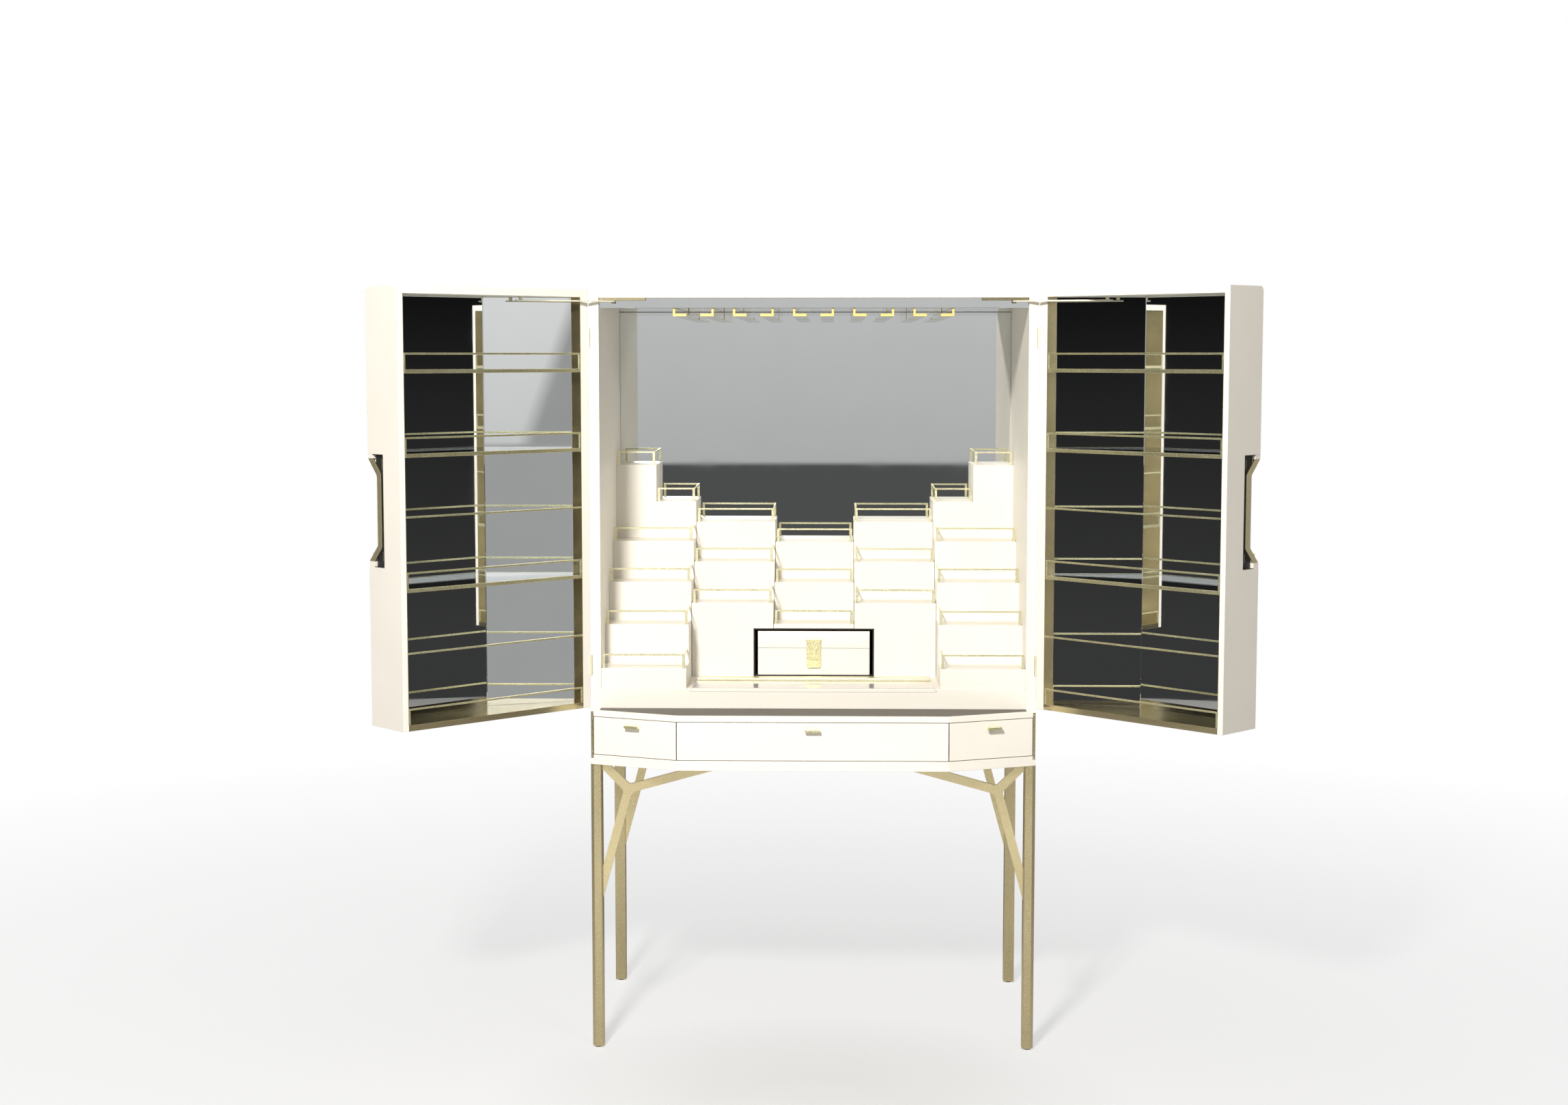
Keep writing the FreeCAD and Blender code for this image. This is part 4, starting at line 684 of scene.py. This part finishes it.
underside = climb(INNER_TOP, LANDING, PANEL)[::-1]
form = bmesh.new()
stairs(form, INNER_IN, INNER_OUT, climb(INNER_TOP, LANDING) + underside)
stairs(form, INNER_IN, INNER_IN + PANEL, climb(MIDDLE_TOP, LANDING, PANEL) + underside)
riser = [(INNER_IN, NICHE_HEAD), (NICHE, NICHE_HEAD), (NICHE, FLOOR), (INNER_OUT, FLOOR),
         (INNER_OUT, INNER_TOP[0]), (INNER_IN, INNER_TOP[0])]
drawn_out(form, [(x, FRONT + STEP_Y[2], z) for x, z in riser], (0, PANEL, 0))
on_both_sides(form)


def not_a_nose(edge):
    """True for an edge that isn't the long front edge of a tread."""
    a, b = (vert.co for vert in edge.verts)
    joint = abs(a.y - FRONT - LANDING) < 1e-5 and abs(b.y - FRONT - LANDING) < 1e-5
    return joint or abs(a.x - b.x) < 0.15


ease(form, 0.0007, spared=not_a_nose)
fit("inner_bottle_steps", form, ivory, "cabinet", "white_lacquer", "steps_inner")

form = bmesh.new()
stairs(form, -MIDDLE_HALF, MIDDLE_HALF,
       climb(MIDDLE_TOP, STEP_Y[2]) + climb(MIDDLE_TOP, STEP_Y[2], PANEL)[::-1])
ease(form, 0.0006)
fit("centre_bottle_steps", form, ivory, "cabinet", "white_lacquer", "steps_centre")


# -------------------- gallery rails
# Flat brass strips that keep bottles on the treads: a bar along the front on a post at each end,
# and a return that runs back along the open side.
STRIP = 0.0025
POST = 0.006
RAIL_END = 0.003            # from a column's side
RAIL_LOW = 0.029            # the bar's edges above the tread
RAIL_HIGH = 0.033
rail_brass = brass("rail_brass", (14, 700, 700), 1.22, 0.36, 0.35)


def hoop(x0, x1, foot, low, high, post):
    """Outline of a flat rail on a post at each end."""
    return [(x0, foot), (x0, high), (x1, high), (x1, foot), (x1 - post, foot), (x1 - post, low),
            (x0 + post, low), (x0 + post, foot)]


def gallery(form, x0, x1, index, z_tread, returned):
    """Adds the rail around one tread, with or without a return along its side."""
    y0 = STEP_Y[index]
    y1 = STEP_Y[index + 1] if index < 4 else MIRROR
    a, b = x0 + RAIL_END, x1 - RAIL_END
    z0, z1 = z_tread + RAIL_LOW, z_tread + RAIL_HIGH
    rail = hoop(a, b, z_tread, z0, z1, POST)
    drawn_out(form, [(x, FRONT + y0, z) for x, z in rail], (0, STRIP, 0))
    if returned:
        board(form, a, a + STRIP, y0 + STRIP, y1, z0, z1)


form = bmesh.new()
for index, z in enumerate(OUTER_TOP[:4]):
    gallery(form, OUTER_IN, INNER, index, z, True)
gallery(form, OUTER_IN, OUTER_SPLIT, 4, OUTER_TOP[4], True)
gallery(form, OUTER_SPLIT, INNER, 4, HIGHEST, True)
for index, z in zip((2, 3, 4), INNER_TOP):
    gallery(form, INNER_IN, INNER_OUT, index, z, True)
on_both_sides(form)
for index, z in zip((2, 3, 4), MIDDLE_TOP):
    gallery(form, -MIDDLE_HALF, MIDDLE_HALF, index, z, False)
ease(form, 0.0004, 1)
fit("brass_gallery_rails", form, rail_brass, "cabinet", "brass", "step_rails")


# -------------------- niche
# A niche for the case under the middle steps. Its five sides are lined with board, 3 mm thick, glued in. The
# boards' black colour is painted shade for the gaps around the case.
BOARD = 0.003
NICHE_END = 0.386
# The black of the niche boards is painted shade; the door pockets use the same finish.
lining = black("black_lining", 0.012, 0.55, 700.0)
form = bmesh.new()
for x0, x1, z0, z1 in ((-NICHE, NICHE, FLOOR, FLOOR + BOARD), (-NICHE, NICHE, NICHE_HEAD - BOARD, NICHE_HEAD),
                       (-NICHE, BOARD - NICHE, FLOOR + BOARD, NICHE_HEAD - BOARD),
                       (NICHE - BOARD, NICHE, FLOOR + BOARD, NICHE_HEAD - BOARD)):
    board(form, x0, x1, STEP_Y[2], NICHE_END, z0, z1)
board(form, BOARD - NICHE, NICHE - BOARD, NICHE_END - BOARD, NICHE_END, FLOOR + BOARD, NICHE_HEAD - BOARD)
ease(form, 0.0003, 1)
fit("niche_lining_boards", form, lining, "cabinet", "black_lining", "niche_liner")


# -------------------- case
# A small box covered in ivory leather, with a lifting lid that fits over a thin lip. The two meet
# in a fine open seam, and two brass lugs on the lid carry the hasp's pin.
CASE_HALF = 0.131
CASE_FRONT = 0.200
CASE_BACK = 0.370
CASE_FOOT = 0.8233
CASE_SEAM = 0.8863
CASE_TOP = 0.9258
CASE_WALL = 0.008
SEAM_GAP = 0.0007
BOX_DEPTH = 0.055
LID_DEPTH = 0.0315
LIP = 0.0015                # thickness of the lip, and its foot and top from the seam
LIP_FOOT = 0.008
LIP_TOP = 0.003
case_leather = lacquer("case_leather", (0.80, 0.772, 0.712), 0.45)


def hollow_box(z0, z1, open_face, depth):
    """Box with rounded upright corners, hollowed from its top or its underside."""
    form = bmesh.new()
    board(form, -CASE_HALF, CASE_HALF, CASE_FRONT, CASE_BACK, z0, z1)
    upright = [edge for edge in form.edges if abs(edge.verts[0].co.z - edge.verts[1].co.z) > 0.01]
    round_off(form, upright, 0.003, 4)
    rim = [face for face in form.faces if face.normal.z * open_face > 0.9]
    bmesh.ops.inset_region(form, faces=rim, thickness=CASE_WALL, use_even_offset=True)
    sink(form, rim, (0, 0, -open_face * depth))
    ease(form, 0.0009)
    return form


form = hollow_box(CASE_FOOT, CASE_SEAM - SEAM_GAP, 1, BOX_DEPTH)
walls = set(form.faces)
board(form, CASE_WALL - CASE_HALF, CASE_HALF - CASE_WALL, CASE_FRONT + CASE_WALL, CASE_BACK - CASE_WALL,
      CASE_SEAM - LIP_FOOT, CASE_SEAM + LIP_TOP)
ends = [face for face in form.faces if face not in walls and abs(face.normal.z) > 0.9]
bmesh.ops.inset_region(form, faces=ends, thickness=LIP, use_even_offset=True)
rings = [edge for face in ends for edge in face.edges]
bmesh.ops.delete(form, geom=ends, context="FACES_ONLY")
bmesh.ops.bridge_loops(form, edges=rings)
fit("case_lower_box", form, case_leather, "case", "white_lacquer", "case_body", rounded=True)

form = hollow_box(CASE_SEAM, CASE_TOP, -1, LID_DEPTH)
fit("case_lid_box", form, case_leather, "case", "white_lacquer", "case_lid", rounded=True)


# -------------------- hasp
# A brass hasp hangs over the seam from a pin in two lugs. A narrower strap is screwed to its
# plate, and a turn catch holds it.
PIN_Y = 0.1974
PIN_Z = 0.9058
PIN_HALF = 0.0184
PIN_RADIUS = 0.0012
LUG_X = 0.0175
LUG_HALF = 0.0009
LUG_RADIUS = 0.0024
HASP_HALF = 0.0165
HASP_LENGTH = 0.066
ROLL_RADIUS = 0.0023        # the plate's upper edge, rolled around the pin
STRAP_HALF = 0.0108
CATCH_HALF = 0.0070
STRAP_SCREW_X = 0.0072
STRAP_SCREW = 0.0023
hasp_brass = brass("hasp_brass", (700, 700, 14), 0.98, 0.42, 0.5, metal=(0.92, 0.77, 0.35))


def around_pin(form, x0, x1, radius):
    """Adds a round bar along the hasp's pin."""
    made = turned(form, radius, x1 - x0, 24)
    lay = Matrix.Translation(((x0 + x1) / 2, FRONT + PIN_Y, PIN_Z)) @ Matrix.Rotation(math.pi / 2, 4, "Y")
    bmesh.ops.transform(form, matrix=lay, verts=made)


form = bmesh.new()
for x in (-LUG_X, LUG_X):
    board(form, x - LUG_HALF, x + LUG_HALF, PIN_Y, CASE_FRONT, PIN_Z - LUG_RADIUS, PIN_Z + LUG_RADIUS)
    around_pin(form, x - LUG_HALF, x + LUG_HALF, LUG_RADIUS)
around_pin(form, -PIN_HALF, PIN_HALF, PIN_RADIUS)
ease(form, 0.0002, 1)
fit("hasp_lugs_and_pin", form, hasp_brass, "case", "brass", rounded=True)

form = bmesh.new()
board(form, -HASP_HALF, HASP_HALF, PIN_Y - PIN_RADIUS, PIN_Y + PIN_RADIUS, PIN_Z - HASP_LENGTH, PIN_Z)
corners = [edge for edge in form.edges
           if abs(edge.verts[0].co.y - edge.verts[1].co.y) > 0.001 and edge.verts[0].co.z < PIN_Z - 0.01]
round_off(form, corners, 0.0035, 5)
around_pin(form, -HASP_HALF, HASP_HALF, ROLL_RADIUS)
ease(form, 0.0003, 1)
catch = bmesh.new()
board(catch, -STRAP_HALF, STRAP_HALF, PIN_Y - 0.0024, PIN_Y - 0.001, PIN_Z - 0.0650, PIN_Z - 0.0155)
board(catch, -CATCH_HALF, CATCH_HALF, PIN_Y - 0.0048, PIN_Y - 0.002, PIN_Z - 0.0455, PIN_Z - 0.0370)
for x in (-STRAP_SCREW_X, STRAP_SCREW_X):
    head = turned(catch, STRAP_SCREW, 0.0014, 20)
    stand = Matrix.Translation((x, FRONT + PIN_Y - 0.0029, PIN_Z - 0.0200))
    bmesh.ops.transform(catch, matrix=stand @ Matrix.Rotation(math.pi / 2, 4, "X"), verts=head)
ease(catch, 0.0003, 1)
join(form, catch)
fit("hasp_plate", form, hasp_brass, "hasp", "brass", "case_hasp")


# -------------------- serving shelf
# A lacquered plate that slides out of the carcass's floor on side tongues. Its top is a thin
# mirror, and a flat brass bar lies across it as a stop.
SHELF_HALF = 0.273
SHELF_GLASS = 0.821         # top of the mirror
SHELF_INSET = 0.005         # of the mirror from the carcass front, and of the bar from the sides
SHELF_BACK = 0.190
BAR_FRONT = 0.114
BAR_BACK = 0.150
BAR_HEIGHT = 0.006
dress("serving_shelf_plate", "serving_shelf", ivory, "shelf", "white_lacquer", 0.0006, shortest=0.05)
pale_mirror = mirror_glass("pale_mirror", (0.62, 0.60, 0.60), 0.015, 0.25, 14.0, (0.008, 0.03),
                           (0.59, 0.57, 0.57), (0.64, 0.62, 0.62))
form = bmesh.new()
board(form, -SHELF_HALF, SHELF_HALF, SHELF_INSET, SHELF_BACK, FLOOR, SHELF_GLASS)
ease(form, 0.0004, 1)
fit("serving_shelf_mirror_top", form, pale_mirror, "shelf", "mirror", "serving_shelf_mirror")
form = bmesh.new()
board(form, SHELF_INSET - SHELF_HALF, SHELF_HALF - SHELF_INSET, BAR_FRONT, BAR_BACK, SHELF_GLASS,
      SHELF_GLASS + BAR_HEIGHT)
ease(form, 0.0009)
fit("serving_shelf_brass_bar", form, rail_brass, "shelf", "brass", "serving_shelf_bar")


# -------------------- hinges and stays
# Brass butt hinges whose leaves stand in slots, so that only the knuckles show. A flat stay rod
# turns on a pin under each track, and the door's stud slides along it.
hinge_brass = brass("hinge_brass", (700, 700, 700), 1.0, 0.45, 0.2, metal=(0.97, 0.90, 0.66))
# The tracks' brass is darkened to 0.4 of plain brass: painted shade for their place under the top.
track_brass_painted_shade = brass("track_brass_painted_shade", (12, 700, 700), 0.40, 0.25)
rod_brass = brass("rod_brass", (12, 700, 700), 1.0, 0.45, 0.25, metal=(0.97, 0.89, 0.64))
dress("hinge_knuckles_fixed", "hinges_fixed", hinge_brass, "cabinet", "brass", 0.0003, 1, 0.003, True)
dress("brass_stay_tracks", "stay_tracks", track_brass_painted_shade, "cabinet", "brass", 0.0004, 1, 0.004, True)
for side in ("left", "right"):
    dress("brass_stay_rod_" + side, "stay_rod_" + side, rod_brass, "stay_" + side, "brass", 0.0004, 1, 0.004,
          True)


# -------------------- door shells
# Each door is a deep lacquered tray, glued up from two stiles, a canted and a flat face, and boards
# at top and bottom. The free stile has a finger pocket with a slanted notch, and the top edges are
# chamfered. Along a door, u runs from the hinge pin to the free edge, and v out from the open side.
Z_DOOR = 0.777
Z_TOP = 1.713
Z_DOOR_FLOOR = 0.789
Z_DOOR_CEILING = 1.697
CHAMFER = 0.007
OPEN_ANGLE = math.radians(135.8)
HINGE_END = 0.001           # u of the door's ends and of the fold in its face
FACE_FOLD = 0.200
FREE_END = 0.499
RIM = 0.0015                # v of the shell's open side, its face at the hinge end and its flat face
HINGE_FACE = 0.048
FACE = 0.124
STILE = 0.022               # u of the two stiles' inner sides
FREE_STILE = 0.486
BACKED = 0.111              # v of the flat face's inner side, the fold in it and its hinge end
BACK_FOLD = 0.20623
BACK_START = 0.03731
POCKET_LOW = 1.120
POCKET_HIGH = 1.360
POCKET_FLOOR = 0.4895       # u of the pocket's bottom, and v of its inner side
POCKET_SIDE = 0.066
NOTCH_LOW = 1.150
NOTCH_HIGH = 1.3325
NOTCH_FLOOR = 0.478
NOTCH_SIDE = 0.1065
HALF = 0.500                # x of the hinge pins, in the plane of the carcass front
hang = Matrix.Translation((HALF, FRONT, 0)) @ Matrix.Rotation(OPEN_ANGLE - math.pi, 4, "Z")
door_place = {"right": hang, "left": Matrix.Scale(-1, 4, (1, 0, 0)) @ hang}


def hung(form, side):
    """A copy of a form in door coordinates, set in the open door on one side."""
    copy = form.copy()
    bmesh.ops.transform(copy, matrix=door_place[side], verts=copy.verts)
    return copy


def hang_both(name, form, finish, slot, node):
    """Fits a form in door coordinates into both doors, for the CAD nodes of that name."""
    for side in ("_left", "_right"):
        fit(name + side, hung(form, side[1:]), finish, "door" + side, slot, node + side)
    form.free()


def door_solid(form, plan, z0, z1):
    """Adds a solid with the given (u, v) plan between two heights."""
    drawn_out(form, [(u, v, z0) for u, v in plan], (0, 0, z1 - z0))


def cut_off(form, point, direction):
    """Cuts away what lies beyond a plane and closes the cut."""
    made = bmesh.ops.bisect_plane(form, geom=everything(form), plane_co=point, plane_no=direction,
                                  clear_outer=True)
    edges = [part for part in made["geom_cut"] if isinstance(part, bmesh.types.BMEdge)]
    bmesh.ops.edgeloop_fill(form, edges=edges)


def recess(form, bottom, side, low, high, limit, level_from):
    """Cuts a recess into the free stile, open at the face and nowhere beyond u = limit. Its bottom is
    level outwards from v = level_from, and slants up from there to its inner side."""
    for point, direction in (((0, 0, low), (0, 0, 1)), ((0, 0, high), (0, 0, 1)), ((0, side, 0), (0, 1, 0)),
                             ((bottom, 0, 0), (1, 0, 0))):
        score(form, point, direction)

    def inside(face):
        u, v, z = face.calc_center_median()
        return bottom < u < limit and v > side and low < z < high

    end = [face for face in form.faces if inside(face) and abs(face.normal.x) > 0.9]
    for vert in sink(form, end, (0, 0, 0)):
        if vert.co.y > level_from:
            vert.co.x = bottom
    bmesh.ops.remove_doubles(form, verts=form.verts, dist=0.00001)
    mouth = [face for face in form.faces if inside(face) and face.calc_center_median().y > FACE - 0.0001]
    bmesh.ops.delete(form, geom=mouth, context="FACES")


shell = bmesh.new()
door_solid(shell, [(HINGE_END, RIM), (HINGE_END, HINGE_FACE), (FACE_FOLD, FACE), (FREE_END, FACE),
                   (FREE_END, RIM)], Z_DOOR, Z_TOP)
bmesh.ops.recalc_face_normals(shell, faces=shell.faces)
face_cant = math.atan2(FACE - HINGE_FACE, FACE_FOLD - HINGE_END)
cut_off(shell, (FREE_END, FACE, Z_TOP - CHAMFER), (0, 1, 1))
cut_off(shell, (HINGE_END, HINGE_FACE, Z_TOP - CHAMFER), (-math.sin(face_cant), math.cos(face_cant), 1))
cut_off(shell, (HINGE_END, HINGE_FACE, Z_TOP - CHAMFER), (-1, 0, 1))

recess(shell, POCKET_FLOOR, POCKET_SIDE, POCKET_LOW, POCKET_HIGH, HALF, POCKET_SIDE - 0.001)
recess(shell, NOTCH_FLOOR, NOTCH_SIDE, NOTCH_LOW, NOTCH_HIGH, POCKET_FLOOR + 0.0001, NOTCH_SIDE + 0.001)
bmesh.ops.dissolve_limit(shell, angle_limit=0.01, verts=shell.verts, edges=shell.edges)


def in_front(face):
    """True for a face in the plane of the door's open side."""
    return face.calc_center_median().y < RIM + 0.0001


for point, direction in (((STILE, 0, 0), (1, 0, 0)), ((FREE_STILE, 0, 0), (1, 0, 0)),
                         ((0, 0, Z_DOOR_FLOOR), (0, 0, 1)), ((0, 0, Z_DOOR_CEILING), (0, 0, 1))):
    rim = [face for face in shell.faces if in_front(face)]
    around = {part for face in rim for part in (*face.verts, *face.edges)}
    bmesh.ops.bisect_plane(shell, geom=rim + list(around), plane_co=point, plane_no=direction)
opening = [face for face in shell.faces if in_front(face) and STILE < face.calc_center_median().x < FREE_STILE
           and Z_DOOR_FLOOR < face.calc_center_median().z < Z_DOOR_CEILING]
bmesh.ops.delete(shell, geom=opening, context="FACES_ONLY")
cavity = bmesh.new()
door_solid(cavity, [(STILE, RIM), (FREE_STILE, RIM), (FREE_STILE, BACKED), (BACK_FOLD, BACKED),
                    (STILE, BACK_START)], Z_DOOR_FLOOR, Z_DOOR_CEILING)
bmesh.ops.delete(cavity, geom=[face for face in cavity.faces if in_front(face)], context="FACES_ONLY")
join(shell, cavity)
bmesh.ops.remove_doubles(shell, verts=shell.verts, dist=0.00001)
ease(shell, 0.0009)
hang_both("lacquered_door", shell, ivory, "white_lacquer", "door_shell")


# -------------------- door mirrors
# Two mirror plates line the back of each door, one on its canted face and one on its flat face,
# where it is wedged out towards the free edge. Their bevelled edges make the fold a bright line.
MIRROR_START = 0.033        # v of the glass at the hinge stile, at its fold and at the free stile
MIRROR_FOLD_U = 0.2095
MIRROR_FOLD = 0.108
MIRROR_END = 0.104
form = bmesh.new()
door_solid(form, [(STILE, MIRROR_START), (MIRROR_FOLD_U, MIRROR_FOLD), (BACK_FOLD, BACKED),
                  (STILE, BACK_START)], Z_DOOR_FLOOR, Z_DOOR_CEILING)
door_solid(form, [(MIRROR_FOLD_U, MIRROR_FOLD), (FREE_STILE, MIRROR_END), (FREE_STILE, BACKED),
                  (BACK_FOLD, BACKED)], Z_DOOR_FLOOR, Z_DOOR_CEILING)
ease(form, 0.0013, 1)
hang_both("mirror_plates", form, silvered, "mirror", "door_mirrors")


# -------------------- door linings
# Thin brass sheet, glued over the inside of both stiles and over the floor, and folded down over
# the floor's front edge.
SHEET = 0.001
LINED = STILE + SHEET       # u of the sheet's faces on the two stiles
FREE_LINED = FREE_STILE - SHEET
LINED_START = 0.0334        # v of the mirror at the lining on the hinge stile
FRONT_FOLD = 0.0013         # v of the sheet's faces in front of the floor
FRONT_FACE = 0.0025
lining_brass = brass("lining_brass", (600, 600, 16), 0.80, 0.17, 0.2)


def door_bar(form, u0, u1, v0, v1, z0, z1):
    """Adds a plain bar in door coordinates."""
    door_solid(form, [(u0, v0), (u1, v0), (u1, v1), (u0, v1)], z0, z1)


form = bmesh.new()
door_solid(form, [(STILE, RIM), (LINED, RIM), (LINED, LINED_START), (STILE, MIRROR_START)],
           Z_DOOR_FLOOR, Z_DOOR_CEILING)
door_bar(form, FREE_LINED, FREE_STILE, RIM, MIRROR_END, Z_DOOR_FLOOR, Z_DOOR_CEILING)
door_solid(form, [(LINED, RIM), (FREE_LINED, RIM), (FREE_LINED, MIRROR_END), (MIRROR_FOLD_U, MIRROR_FOLD),
                  (LINED, LINED_START)], Z_DOOR_FLOOR, Z_DOOR_FLOOR + SHEET)
door_bar(form, STILE, FREE_STILE, FRONT_FOLD, FRONT_FACE, Z_DOOR, Z_DOOR_FLOOR)
ease(form, 0.0002, 1)
hang_both("brass_lining", form, lining_brass, "brass", "door_lining")


# -------------------- glass shelves
# Three plates of 8 mm float glass in each door, let in between the stiles. Their edges are
# polished and show the faint green of their depth.
SHELF_TOPS = (1.079, 1.363, 1.539)
SHELF_THICKNESS = 0.008
PLAY = 0.0002               # between a plate and the linings and mirrors around it
PLATE_FRONT = 0.0047        # v of the plates' front edges
clear, tree, place, shader = surface("clear_glass", (0.93, 0.975, 0.955), 0.01, 0.0)
shader.inputs["Transmission Weight"].default_value = 1.0
shader.inputs["IOR"].default_value = 1.5
wear(tree, grain(tree, place, 30.0, detail=4.0), 0.0, 0.03, shader)
form = bmesh.new()
for z in SHELF_TOPS:
    door_solid(form, [(LINED + PLAY, PLATE_FRONT), (FREE_LINED - PLAY, PLATE_FRONT),
                      (FREE_LINED - PLAY, MIRROR_END - PLAY), (MIRROR_FOLD_U, MIRROR_FOLD - 0.0003),
                      (LINED + PLAY, LINED_START - 0.0001)], z - SHELF_THICKNESS, z)
ease(form, 0.0007)
hang_both("glass_shelf_plates", form, clear, "glass", "door_shelves")


# -------------------- door rails
# Square brass rods: an edge strip on each glass shelf, a low hoop above each shelf and the floor,
# and two plain guard rails. Their ends are pinned to the stiles.
ROD = 0.004
EDGE_STRIP = 0.003
HOOP = 0.035                # height of a hoop above its shelf
GUARDS = (0.165, 0.453)     # heights of the guard rails above the door's lower edge
door_rail_brass = brass("door_rail_brass", (14, 700, 700), 1.12, 0.34, 0.35, OPEN_ANGLE)
form = bmesh.new()
for z in SHELF_TOPS:
    door_bar(form, LINED, FREE_LINED, RIM, RIM + EDGE_STRIP, z - SHELF_THICKNESS, z)
for seat in (Z_DOOR_FLOOR + SHEET, *SHELF_TOPS):
    rail = hoop(LINED, FREE_LINED, seat, seat + HOOP - ROD, seat + HOOP, ROD)
    drawn_out(form, [(u, RIM, z) for u, z in rail], (0, ROD, 0))
for height in GUARDS:
    z = Z_DOOR + height
    door_bar(form, LINED, FREE_LINED, RIM, RIM + ROD, z - ROD / 2, z + ROD / 2)
ease(form, 0.0005, 1)
hang_both("brass_rails", form, door_rail_brass, "brass", "door_rails")


# -------------------- finger pockets and handles
# A black-lined recess in each free stile. A flat brass handle is bent into it and stands on a foot
# at each end, with a narrow brass strip behind each bend. Outside the handle the stile stays
# lacquered, also in the recess's corners.
GRIP_OUT = 0.0907           # v of the handle's two edges along its straight middle
GRIP_IN = 0.0756
END_IN = 0.1055             # v of its inner edge at its ends
GRIP_LOW = 1.132
GRIP_HIGH = 1.3505
BEND_LOW = 1.167
BEND_HIGH = 1.3143
GRIP_BACK = 0.4952          # u of its inner face
GRIP_THICKNESS = 0.003
FOOT = 0.006                # height of a foot, and v of its two sides
FOOT_IN = 0.110
FOOT_OUT = 0.119
TRIM_LOW = 1.152            # the lining is cut back to the notch between these heights
TRIM_HIGH = 1.3305
LINING = 0.001
LINING_FACE = POCKET_FLOOR + LINING
OUTLINE = [(FACE, GRIP_LOW), (GRIP_OUT, BEND_LOW), (GRIP_OUT, BEND_HIGH), (FACE, GRIP_HIGH)]

form = bmesh.new()
plate = [(POCKET_SIDE, POCKET_LOW), (END_IN, POCKET_LOW), (END_IN, TRIM_LOW)] + OUTLINE[1:3] + [
    (END_IN, TRIM_HIGH), (END_IN, POCKET_HIGH), (POCKET_SIDE, POCKET_HIGH)]
drawn_out(form, [(POCKET_FLOOR, v, z) for v, z in plate], (LINING, 0, 0))
door_bar(form, LINING_FACE, FREE_END, POCKET_SIDE, POCKET_SIDE + LINING, POCKET_LOW, POCKET_HIGH)
for z in (POCKET_LOW, POCKET_HIGH - LINING):
    door_bar(form, LINING_FACE, FREE_END, POCKET_SIDE + LINING, END_IN, z, z + LINING)
ease(form, 0.0002, 1)
grip = bmesh.new()
bar = OUTLINE + [(END_IN, GRIP_HIGH), (GRIP_IN, 1.3177), (GRIP_IN, 1.1637), (END_IN, GRIP_LOW)]
drawn_out(grip, [(GRIP_BACK, v, z) for v, z in bar], (GRIP_THICKNESS, 0, 0))
for z in (GRIP_LOW, GRIP_HIGH - FOOT):
    door_bar(grip, LINING_FACE, GRIP_BACK + 0.0001, FOOT_IN, FOOT_OUT, z, z + FOOT)
ease(grip, 0.0004, 1)
for z0, z1 in ((1.133, 1.153), (1.328, 1.350)):
    door_bar(grip, LINING_FACE, LINING_FACE + 0.0005, 0.0818, 0.0829, z0, z1)
corners = bmesh.new()
for z0, z1 in ((POCKET_LOW, 1.1315), (1.351, POCKET_HIGH)):
    door_bar(corners, POCKET_FLOOR, FREE_END - 0.0005, END_IN, FACE, z0, z1)
ease(corners, 0.0003, 1)
handle_brass = brass("handle_brass", (900, 900, 20), 0.76, 0.34, 0.12)
for side in ("left", "right"):
    door = "door_" + side
    fit("pocket_lining_" + side, hung(form, side), lining, door, "black_lining", "door_pocket_" + side)
    fit("brass_handle_" + side, hung(grip, side), handle_brass, door, "brass", "door_handle_" + side)
    fit("pocket_corners_" + side, hung(corners, side), ivory, door, "white_lacquer")
    dress("door_hinges_and_stud_" + side, "door_fittings_" + side, hinge_brass, door, "brass", 0.0003, 1,
          0.003, True)
for made in (form, grip, corners):
    made.free()
